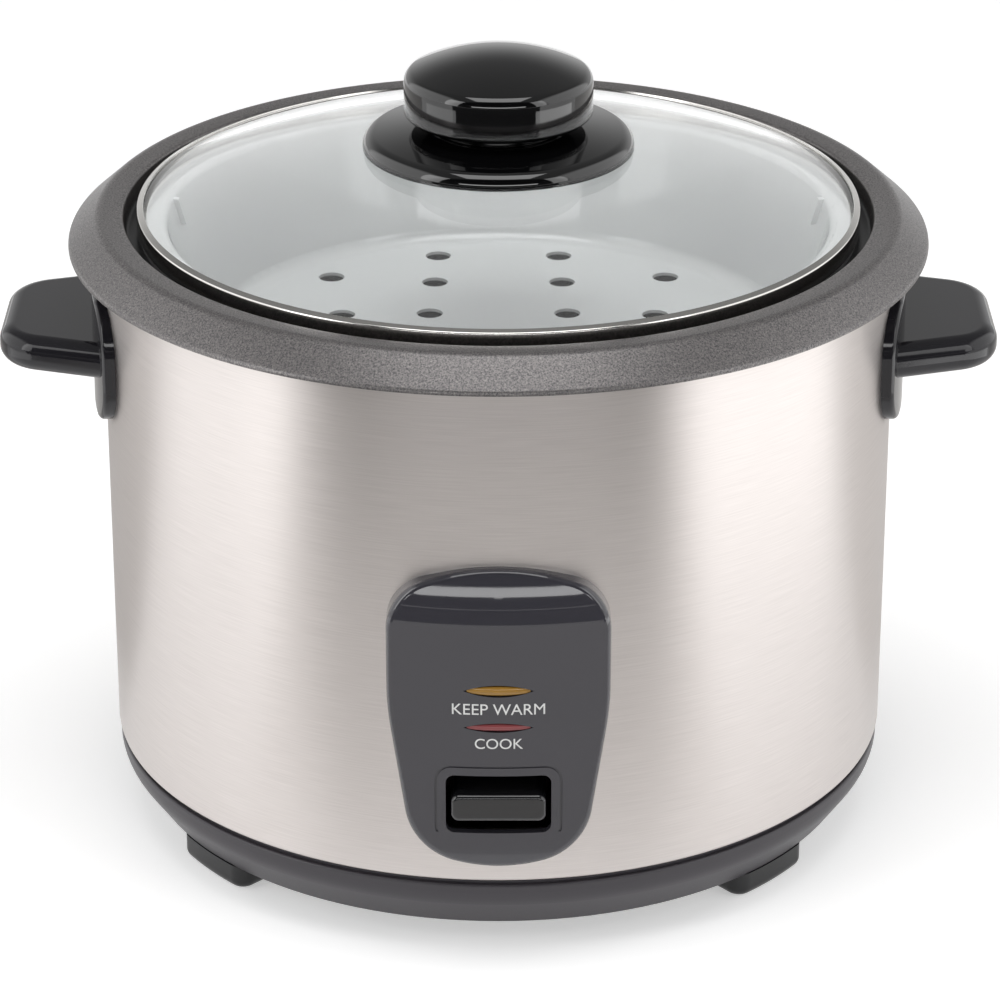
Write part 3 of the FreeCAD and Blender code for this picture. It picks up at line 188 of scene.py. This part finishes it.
def brushed_stainless():
    """Stainless sheet brushed round the drum: long thin streaks round it, highlights drawn upright."""
    material, tree, shader, where = finish("brushed_stainless", Metallic=1.0, Anisotropic=0.75,
                                            Anisotropic_Rotation=0.25)
    axes = add(tree, "ShaderNodeSeparateXYZ", {0: where}).outputs
    turn = add(tree, "ShaderNodeMath", {0: axes["Y"], 1: axes["X"]}, operation="ARCTAN2").outputs[0]
    # the streaks are coarser than the real brush lines, which would not show
    along = add(tree, "ShaderNodeMath", {0: turn, 1: casing_radius / streak_length}, operation="MULTIPLY")
    height = add(tree, "ShaderNodeMath", {0: axes["Z"], 1: 1 / (streak_height * MM)}, operation="MULTIPLY")
    line = add(tree, "ShaderNodeCombineXYZ", {0: along.outputs[0], 1: height.outputs[0]})
    streak = add(tree, "ShaderNodeTexNoise", {"Vector": line.outputs[0], "Scale": 1.0, "Detail": 2.0})
    colours = {0: streak.outputs["Fac"], 6: linear("#c8c2bf"), 7: linear("#dcd6d3")}
    tint = add(tree, "ShaderNodeMix", colours, data_type="RGBA")
    surface(tree, shader, tint.outputs[2], streak.outputs["Fac"], 0.36, 0.44, 0.002)
    tangent = add(tree, "ShaderNodeTangent", direction_type="RADIAL", axis="Z")
    tree.links.new(tangent.outputs[0], shader.inputs["Tangent"])
    return material


def speckled_nonstick():
    """Sprayed hammertone non-stick: pale metal flakes in grey on the rim, plain black inside the mouth."""
    material, tree, shader, where = finish("speckled_nonstick", Metallic=0.55)
    # the flakes are somewhat coarser than the spray's own, which would not show
    spray = {"Vector": where, "Scale": 1 / (flake_grain * MM), "Detail": 2.0, "Roughness": 0.7}
    flake = add(tree, "ShaderNodeTexNoise", spray).outputs["Fac"]
    spread = add(tree, "ShaderNodeMapRange", {"Value": flake, "From Min": 0.3, "From Max": 0.72})
    colours = {0: spread.outputs["Result"], 6: linear("#474649"), 7: linear("#8f8b89")}
    rim = add(tree, "ShaderNodeMix", colours, data_type="RGBA")
    axes = add(tree, "ShaderNodeSeparateXYZ", {0: where}).outputs
    flat = add(tree, "ShaderNodeCombineXYZ", {0: axes["X"], 1: axes["Y"]})
    radius = add(tree, "ShaderNodeVectorMath", {0: flat.outputs[0]}, operation="LENGTH")
    mouth = {"From Min": (mouth_radius - 0.4) * MM, "From Max": (mouth_radius + 0.3) * MM}
    outside = add(tree, "ShaderNodeMapRange", {"Value": radius.outputs["Value"], **mouth})
    colours = {0: outside.outputs["Result"], 6: linear("#1d1d1e"), 7: rim.outputs[2]}
    tint = add(tree, "ShaderNodeMix", colours, data_type="RGBA")
    surface(tree, shader, tint.outputs[2], flake, 0.45, 0.3, 0.04)
    return material


def toughened_glass():
    """Clear tempered glass, hardly tinted, with the haze of fingerprints in its gloss."""
    material, tree, shader, where = finish("toughened_glass", IOR=1.5, Transmission_Weight=1.0,
                                            Base_Color=linear("#feffff"))
    smear = add(tree, "ShaderNodeTexNoise", {"Vector": where, "Scale": 1 / (smear_grain * MM), "Detail": 2.0})
    haze = add(tree, "ShaderNodeMapRange", {"Value": smear.outputs["Fac"], "To Min": 0.0, "To Max": 0.03})
    tree.links.new(haze.outputs["Result"], shader.inputs["Roughness"])
    # lamps shine through the pane: rays that only ask for shade pass it as clear film
    asked = add(tree, "ShaderNodeLightPath").outputs["Is Shadow Ray"]
    film = add(tree, "ShaderNodeBsdfTransparent", {"Color": linear("#f4f8f6")})
    both = add(tree, "ShaderNodeMixShader", {0: asked, 1: shader.outputs[0], 2: film.outputs[0]})
    tree.links.new(both.outputs[0], tree.nodes["Material Output"].inputs["Surface"])
    return material


finishes = {
    # spray-coated pan: a dull glitter of flakes on the rim
    "nonstick_coating": speckled_nonstick(),
    # pale moulded polypropylene: soft body under a smooth skin, so its floor corner shines as a line
    "basket_plastic": moulded("satin_polypropylene", "#c3c3c4", 0.3, 0.6, 0.002, 0.02, Coat_Weight=1.0,
                              Coat_Roughness=0.06),
    # pressed and tempered pane: clear, with the studio mirrored in its dome
    "lid_glass": toughened_glass(),
    # rolled and polished band: a thin bright mirror line
    "lid_steel": plain_metal("polished_stainless_band", "#dedcd8", 0.14, 0.6, 0.002),
    # pressed phenolic: deep black with hard, sharp highlights
    "knob_plastic": moulded("black_phenolic", "#070708", 0.05, 0.6, 0.0005, IOR=1.6, Coat_Weight=0.2),
    # moulded silicone: dull and pale
    "silicone": moulded("grey_silicone", "#b9b8b2", 0.5, 0.5, 0.01),
    # zinc-plated screws: bright grey with a slight bloom
    "fastener_steel": plain_metal("zinc_plated_steel", "#b9b9b6", 0.3, 0.5, 0.01),
    # brushed sheet: highlights drawn upright, fine lines round the drum
    "brushed_casing": brushed_stainless(),
    # moulded ABS with a satin mould skin: a soft sheen along the ring
    "base_plastic": moulded("satin_charcoal_abs", "#39363b", 0.4, 0.5, 0.01),
    # hot-dipped sheet: grey with a cloudy zinc bloom, some 6 mm across
    "sheet_steel": plain_metal("galvanised_sheet", "#a9aaa8", 0.42, 6.0, 0.01),
    # polished mould: dark grey, near black, with clear reflections on the rounded grips
    "handle_plastic": moulded("gloss_charcoal_handle", "#1d1c20", 0.08, 0.6, 0.0005, IOR=1.46),
    # polished mould: charcoal with a bright band along the rolled top
    "panel_plastic": moulded("gloss_charcoal_panel", "#37363c", 0.07, 0.6, 0.0005, Coat_Weight=0.5),
    # tinted clear lens over a dark lamp: deep amber
    "amber_lens": moulded("amber_polycarbonate", "#96702f", 0.1, 0.6, 0.002, 0.1),
    # tinted clear lens over a dark lamp: dusky red
    "red_lens": moulded("red_polycarbonate", "#824143", 0.1, 0.6, 0.002, 0.1),
    # heatproof moulding: chalky white
    "holder_plastic": moulded("white_heatproof_plastic", "#dedbd3", 0.5, 0.4, 0.02),
    # blown glass bulb: pale and shiny
    "lamp_glass": moulded("neon_lamp_glass", "#e6e4df", 0.1, 0.5, 0.004),
    # heatproof moulding: matt black with a fine skin
    "electric_plastic": moulded("black_heatproof_plastic", "#232326", 0.45, 0.4, 0.02),
    # sand-cast metal: light grey, grainy
    "cast_aluminium": plain_metal("cast_aluminium", "#b4b4b2", 0.4, 0.9, 0.04),
    # heated tube: brown-grey oxide
    "element_steel": plain_metal("oxidised_steel_tube", "#6d6864", 0.45, 1.5, 0.02),
    # stamped brass: warm yellow
    "terminal_brass": plain_metal("brass", "#cfae62", 0.3, 0.6, 0.01),
    # drawn cup: silky light grey
    "cap_aluminium": plain_metal("pressed_aluminium", "#c6c6c4", 0.33, 0.5, 0.01),
    # pressed and fired powder: dead matt, near black
    "ferrite": moulded("sintered_ferrite", "#2b2b2c", 0.6, 0.3, 0.03),
    # drawn wire: grey with thin glints
    "spring_steel": plain_metal("spring_wire", "#9c9c9e", 0.28, 0.4, 0.005),
    # moulded feet: black with a soft sheen
    "foot_plastic": moulded("black_foot_plastic", "#161618", 0.35, 0.5, 0.01),
    # extruded sleeves: plain wire colours, a little shiny
    "lead_brown": moulded("brown_wire_sleeve", "#5c3a22", 0.45, 0.4, 0.01),
    "lead_blue": moulded("blue_wire_sleeve", "#3a5fa8", 0.45, 0.4, 0.01),
    "lead_green": moulded("green_wire_sleeve", "#4f8f3c", 0.45, 0.4, 0.01),
}
# polished mould, blacker than the panel round it
switch_black = moulded("gloss_black_switch", "#131315", 0.08, 0.6, 0.0005, Coat_Weight=0.5)
# pad-printed ink: flat off-white
white_print = moulded("white_pad_print", "#d9d9d8", 0.4, 0.3, 0.001)
for name, part in frame["nodes"].items():
    part.data.materials.clear()
    part.data.materials.append(switch_black if name == "switch_button" else finishes[slots[name]])


def rounded(corners, steps=9):
    """Path (r, z) through corners (r, z, rounding): an arc that touches both sides stands for each corner."""
    spots = np.array([corner[:2] for corner in corners], float)
    path = [spots[:1]]
    for before, corner, after, (_, _, size) in zip(spots, spots[1:], spots[2:], corners[1:]):
        if size == 0:
            path.append(corner[None])
            continue
        back = (before - corner) / np.linalg.norm(before - corner)
        ahead = (after - corner) / np.linalg.norm(after - corner)
        half = math.acos(np.clip(back @ ahead, -1, 1)) / 2
        middle = corner + (back + ahead) / np.linalg.norm(back + ahead) * size / math.sin(half)
        start = corner + back * size / math.tan(half) - middle
        end = corner + ahead * size / math.tan(half) - middle
        swing = math.pi - 2 * half
        share = np.linspace(0, 1, steps)[:, None]
        bow = np.sin((1 - share) * swing) * start + np.sin(share * swing) * end
        path.append(middle + bow / math.sin(swing))
    return np.concatenate(path + [spots[-1:]])


def arc(radius, middle, start, end, steps=24):
    """Arc (r, z) of a circle about a middle, from one angle in degrees above level to another."""
    angle = np.radians(np.linspace(start, end, steps))
    return np.stack([middle[0] + radius * np.cos(angle), middle[1] + radius * np.sin(angle)], axis=1)


def sheet(path, wall):
    """Closed outline of a sheet: the path, and back along the path set off by the wall on its right."""
    way = np.gradient(path, axis=0)
    side = np.stack([way[:, 1], -way[:, 0]], axis=1)
    side /= np.linalg.norm(side, axis=1)[:, None]
    return np.concatenate([path, (path + side * wall)[::-1]])


def ring_faces(count, around, closed):
    """Quads between rings of points that lie one after another; if closed, the last ring joins the first."""
    row, column = np.meshgrid(np.arange(count if closed else count - 1), np.arange(around), indexing="ij")
    after, beside = (row + 1) % count * around, (column + 1) % around
    row = row * around
    return np.stack([row + column, row + beside, after + beside, after + column], axis=2).reshape(-1, 4)


def pole_faces(count, around):
    """Triangles from the first and last ring to the two points that follow all rings."""
    first, last = np.arange(around), (count - 1) * around + np.arange(around)
    start = np.stack([np.roll(first, -1), first, np.full(around, count * around)], axis=1)
    end = np.stack([last, np.roll(last, -1), np.full(around, count * around + 1)], axis=1)
    return start.tolist() + end.tolist()


def turned(outline, around=288, windows=()):
    """Surface of revolution: outline point (r, z) goes to (r cos a, r sin a, z) for a round a full turn.

    An outline that starts and ends on the axis closes in two poles, any other closes on itself. Each window
    leaves out the faces within a half width of its own angle and between two heights.
    """
    outline = np.asarray(outline, float) * MM
    poles = outline[0, 0] < 1e-9 and outline[-1, 0] < 1e-9
    ring = outline[1:-1] if poles else outline
    count = len(ring)
    angle = np.linspace(0, 2 * math.pi, around, endpoint=False)
    level = np.broadcast_to(ring[:, 1, None], (count, around))
    rings = np.stack([ring[:, :1] * np.cos(angle), ring[:, :1] * np.sin(angle), level], axis=2)
    points = rings.reshape(-1, 3)
    faces = ring_faces(count, around, not poles)
    for way, half, low, high in windows:
        middle = points[faces].mean(axis=1) / MM
        aside = np.degrees(np.arctan2(middle[:, 0], -middle[:, 1])) - way
        aside = abs((aside + 180) % 360 - 180)
        faces = faces[(aside > half) | (middle[:, 2] < low) | (middle[:, 2] > high)]
    faces = faces.tolist()
    if poles:
        points = np.concatenate([points, [[0, 0, outline[0, 1]], [0, 0, outline[-1, 1]]]])
        faces += pole_faces(count, around)
    return points, faces


def lens_shape(height, half, tall, around=96, steps=16, inmost=0.08):
    """Lens in the panel's wall: rings t of an oval (t half cos a, t tall sin a), crowned as 1 - t squared.

    Sideways places become angles round the panel; a last ring behind gives the lens its thickness.
    """
    angle = np.linspace(0, 2 * math.pi, around, endpoint=False)
    share = np.append(np.linspace(inmost, 1, steps), 1.0)[:, None]
    lift = lens_sunk + lens_crown * (1 - share ** 2)
    lift[-1] = -lens_depth
    turn = share * half * np.cos(angle) / panel_face
    radius = panel_face + np.broadcast_to(lift, turn.shape)
    level = height + share * tall * np.sin(angle)
    rings = np.stack([radius * np.sin(turn), -radius * np.cos(turn), level], axis=2)
    ends = [[0, -panel_face - lens_sunk - lens_crown, height], [0, -panel_face + lens_depth, height]]
    points = np.concatenate([rings.reshape(-1, 3), ends]) * MM
    return points, ring_faces(len(share), around, False).tolist() + pole_faces(len(share), around)


def coil_shape(box, wire, turns, along=192, around=10):
    """Round wire on a helix: its middle (R cos a, R sin a, z) climbs with a, and circles square to it follow.

    The helix fills the box of its solid in width and height.
    """
    low, high = np.array(box[0]), np.array(box[1])
    reach = (high[0] - low[0]) / 2 - wire
    angle = np.linspace(0, 2 * math.pi * turns, along)[:, None]
    level = np.linspace(low[2] + wire, high[2] - wire, along)[:, None]
    middle = np.hstack([reach * np.cos(angle), reach * np.sin(angle), level])
    out = np.hstack([np.cos(angle), np.sin(angle), angle * 0])
    way = np.gradient(middle, axis=0)
    up = np.cross(out, way / np.linalg.norm(way, axis=1)[:, None])
    swing = np.linspace(0, 2 * math.pi, around, endpoint=False)[None, :, None]
    rings = middle[:, None] + wire * (np.cos(swing) * out[:, None] + np.sin(swing) * up[:, None])
    points = np.concatenate([rings.reshape(-1, 3), middle[:1], middle[-1:]])
    return points, ring_faces(along, around, False).tolist() + pole_faces(along, around)


def dressed(name, mesh, body, slot, replaces, sharp, material=None):
    """Object of a mesh, smooth up to a sharp angle, with its body, finish and the solids it stands for."""
    mesh.polygons.foreach_set("use_smooth", np.ones(len(mesh.polygons), bool))
    mesh.set_sharp_from_angle(angle=math.radians(sharp))
    mesh.materials.clear()
    mesh.materials.append(material or finishes[slot])
    made = bpy.data.objects.new(name, mesh)
    bpy.context.scene.collection.objects.link(made)
    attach(made, body)
    if replaces:
        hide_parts(*replaces)
    return made


def shell(node, body, shape, sharp=50):
    """Piece in place of a solid: faces turned outwards, the sides of a front and a rear window closed."""
    mesh = bpy.data.meshes.new("smooth_" + node)
    points, faces = shape
    mesh.from_pydata(points.tolist(), [], faces)
    work = bmesh.new()
    work.from_mesh(mesh)
    for side in (-1, 1):
        edges = [edge for edge in work.edges if edge.is_boundary and edge.verts[0].co.y * side > 0]
        if edges:
            bmesh.ops.bridge_loops(work, edges=edges)
    bmesh.ops.recalc_face_normals(work, faces=work.faces)
    work.to_mesh(mesh)
    work.free()
    return dressed("smooth_" + node, mesh, body, slots[node], [node], sharp)


def printed(name, words, height, capital):
    """Words printed on the panel: a flat text's (x, y) goes to angle x / R round it and to height + y."""
    curve = bpy.data.curves.new(name, "FONT")
    curve.body = words
    curve.size = capital / capital_share
    curve.align_x = "CENTER"
    curve.align_y = "CENTER"
    curve.extrude = print_height / 2
    flat = bpy.data.objects.new(name + "_flat", curve)
    mesh = bpy.data.meshes.new_from_object(flat)
    bpy.data.objects.remove(flat)
    bpy.data.curves.remove(curve)
    points = np.empty(len(mesh.vertices) * 3)
    mesh.vertices.foreach_get("co", points)
    x, y, lift = points.reshape(-1, 3).T
    turn = x / panel_face
    radius = panel_face + print_height / 2 + lift
    placed = np.stack([radius * np.sin(turn), -radius * np.cos(turn), height + y], axis=1) * MM
    mesh.vertices.foreach_set("co", placed.ravel())
    mesh.update()
    return dressed(name, mesh, "body", "panel_plastic", None, 30, white_print)


shell("inner_pot", "pot", turned(sheet(rounded(pot_path), pot_wall)))
inner_radius = dome_radius - glass_thickness
spans = [[math.degrees(math.acos(reach / radius)) for reach in (glass_hole, glass_edge)]
         for radius in (dome_radius, inner_radius)]
shell("lid_glass", "lid", turned(np.concatenate([
    arc(dome_radius, (0, dome_centre), spans[0][0], spans[0][1], dome_steps),
    arc(inner_radius, (0, dome_centre), spans[1][1], spans[1][0], dome_steps)])))
shell("lid_band", "lid", turned(sheet(rounded(band_path), -band_sheet)))
# The knob's side, edge and dome: each arc starts and stops short of the points its neighbours give
dome_middle = (0, knob_top - knob_dome)
edge_reach = knob_radius - knob_edge
edge_angle = math.degrees(math.acos(edge_reach / (knob_dome - knob_edge)))
edge_middle = (edge_reach, dome_middle[1] + (knob_dome - knob_edge) * math.sin(math.radians(edge_angle)))
shell("lid_knob", "lid", turned(np.concatenate([
    rounded(knob_path), arc(knob_edge, edge_middle, 4, edge_angle, 16),
    arc(knob_dome, dome_middle, edge_angle + 1, 89), [(0, knob_top)]]), knob_around))
shell("knob_base", "lid", turned(rounded(skirt_path), knob_around))
casing_outline = sheet(rounded(casing_path), -casing_sheet)
shell("casing", "body", turned(casing_outline, windows=(switch_window, inlet_window)))
shell("amber_lens", "body", lens_shape(*amber_oval))
shell("red_lens", "body", lens_shape(*red_oval))
# The magnet pushes its spring together as the switch goes down
spring_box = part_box("magnet_spring")
spring = shell("magnet_spring", "cap", coil_shape(spring_box, spring_wire * MM, spring_turns))
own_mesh(spring)
printed("warm_words", "KEEP WARM", *warm_row)
printed("cook_words", "COOK", *cook_row)

# Camera as fitted to the photo: lens in mm, place in metres, tilt from straight down
camera_data = bpy.data.cameras.new("camera")
camera = bpy.data.objects.new("camera", camera_data)
bpy.context.scene.collection.objects.link(camera)
bpy.context.scene.camera = camera
camera_data.lens = 154.19
camera_data.sensor_width = 36
camera_data.shift_x = 0.0015
camera.location = (0, -1.2313, 0.6479)
camera.rotation_euler = (math.radians(65.843), 0, 0)


def studio_world():
    """Pale wall behind, bright flanks, dimmer ceiling, dark room in front; the camera sees plain white."""
    world = bpy.data.worlds.new("studio")
    bpy.context.scene.world = world
    world.use_nodes = True
    tree = world.node_tree
    way = add(tree, "ShaderNodeTexCoord").outputs["Generated"]
    axes = add(tree, "ShaderNodeSeparateXYZ", {0: way}).outputs
    aside = add(tree, "ShaderNodeMath", {0: axes["X"]}, operation="ABSOLUTE").outputs[0]
    wall = add(tree, "ShaderNodeMapRange", {"Value": axes["Y"], "From Min": -0.62, "From Max": -0.42,
                                            "To Min": 0.04, "To Max": 0.75}, interpolation_type="SMOOTHSTEP")
    above = add(tree, "ShaderNodeMapRange", {"Value": axes["Z"], "From Min": 0.1, "From Max": 0.6,
                                             "To Min": 1.0, "To Max": 0.35}, interpolation_type="SMOOTHSTEP")
    flank = add(tree, "ShaderNodeMapRange", {"Value": aside, "From Min": 0.55, "From Max": 0.75,
                                             "To Min": 0.0, "To Max": 1.9}, interpolation_type="SMOOTHSTEP")
    roof = add(tree, "ShaderNodeMath", {0: above.outputs["Result"], 1: flank.outputs["Result"]},
               operation="MAXIMUM")
    room = add(tree, "ShaderNodeMath", {0: wall.outputs["Result"], 1: roof.outputs[0]}, operation="MULTIPLY")
    ray = add(tree, "ShaderNodeLightPath").outputs
    seen = add(tree, "ShaderNodeMath", {0: ray["Is Camera Ray"], 1: ray["Is Transmission Ray"]},
               operation="MAXIMUM")
    level = add(tree, "ShaderNodeMix", {0: seen.outputs[0], 2: room.outputs[0], 3: 1.0})
    sky = tree.nodes["Background"]
    sky.inputs["Color"].default_value = (1, 1, 1, 1)
    tree.links.new(level.outputs[0], sky.inputs["Strength"])


def softbox(name, place, target, width, height, glow):
    """Area lamp that faces a target; glow is how bright its own face is, 1 being white."""
    lamp = bpy.data.lights.new(name, "AREA")
    lamp.shape = "RECTANGLE"
    lamp.size = width
    lamp.size_y = height
    lamp.energy = glow * math.pi * width * height
    made = bpy.data.objects.new(name, lamp)
    bpy.context.scene.collection.objects.link(made)
    made.location = place
    aim = Vector(target) - made.location
    made.rotation_euler = aim.to_track_quat("-Z", "Y").to_euler()


def stage_sheet(name, corners, material):
    """Flat sheet of the studio, in metres."""
    mesh = bpy.data.meshes.new(name)
    mesh.from_pydata(corners, [], [tuple(range(len(corners)))])
    made = bpy.data.objects.new(name, mesh)
    bpy.context.scene.collection.objects.link(made)
    mesh.materials.append(material)
    return made


def studio_floor():
    """Matt white paper: some light of its own, for the eye and for gloss, makes it white round the shadow."""
    material, tree, shader, where = finish("white_paper", Roughness=0.9, Emission_Color=(1, 1, 1, 1))
    fibre = add(tree, "ShaderNodeTexNoise", {"Vector": where, "Scale": 1 / (fibre_grain * MM)})
    colours = {0: fibre.outputs["Fac"], 6: linear("#ececec"), 7: linear("#f0f0f0")}
    tint = add(tree, "ShaderNodeMix", colours, data_type="RGBA")
    tree.links.new(tint.outputs[2], shader.inputs["Base Color"])
    ray = add(tree, "ShaderNodeLightPath").outputs
    seen = add(tree, "ShaderNodeMath", {0: ray["Is Camera Ray"], 1: ray["Is Glossy Ray"]},
               operation="MAXIMUM")
    seen = add(tree, "ShaderNodeMath", {0: seen.outputs[0], 1: ray["Is Transmission Ray"]},
               operation="MAXIMUM")
    away = add(tree, "ShaderNodeVectorMath", {0: where}, operation="LENGTH")
    level = add(tree, "ShaderNodeMapRange", {"Value": away.outputs["Value"], "From Min": 0.8, "From Max": 2.5,
                                             "To Min": 0.4, "To Max": 0.8})
    glow = add(tree, "ShaderNodeMath", {0: seen.outputs[0], 1: level.outputs["Result"]}, operation="MULTIPLY")
    tree.links.new(glow.outputs[0], shader.inputs["Emission Strength"])
    return material


def gloss_card(name, start, end, near, far, code, glow=0.0, steps=24):
    """Part of the table that only gloss sees: a sector between two angles from the front and two reaches."""
    angle = np.radians(np.linspace(start, end, steps))
    edge = np.stack([np.sin(angle), -np.cos(angle), angle * 0], axis=1)
    corners = np.concatenate([edge * near, edge[::-1] * far]) + (0, 0, card_height * MM)
    material = finish(name, Roughness=0.9, Base_Color=linear(code), Emission_Color=linear(code),
                      Emission_Strength=glow)[0]
    made = stage_sheet(name, corners.tolist(), material)
    made.visible_camera = False
    made.visible_diffuse = False
    made.visible_shadow = False
    made.visible_transmission = False


studio_world()
softbox("overhead_box", (0, -0.35, 1.9), (0, 0, 0.1), 1.3, 1.1, 2.7)
softbox("front_box", (0, -1.9, 0.6), (0, 0, 0.15), 2.4, 0.25, 4.5)
softbox("left_box", (-1.25, -0.8, 0.75), (0, 0, 0.12), 0.5, 1.2, 2.2)
softbox("right_box", (1.2, -0.95, 0.75), (0, 0, 0.12), 0.4, 1.2, 2.0)
stage_sheet("floor", [(-6, -6, 0), (6, -6, 0), (6, 6, 0), (-6, 6, 0)], studio_floor())
# What the drum and grips mirror on the table: grey in front, dark beyond, bright beside, grey behind
gloss_card("grey_front", -56, 50, 0.2, 0.5, "#dcdad8", 0.2)
gloss_card("dark_front", -56, 50, 0.5, 4.0, "#29292a")
gloss_card("bright_left", -96, -52, 0.42, 0.8, "#ffffff", 0.9)
gloss_card("bright_right", 45, 98, 0.42, 0.8, "#ffffff", 1.75)
gloss_card("grey_left", -160, -104, 0.18, 1.2, "#c4c2c0", 0.2)
gloss_card("grey_right", 104, 160, 0.18, 1.2, "#d6d4d2", 0.3)

bpy.context.scene.view_settings.view_transform = "Standard"
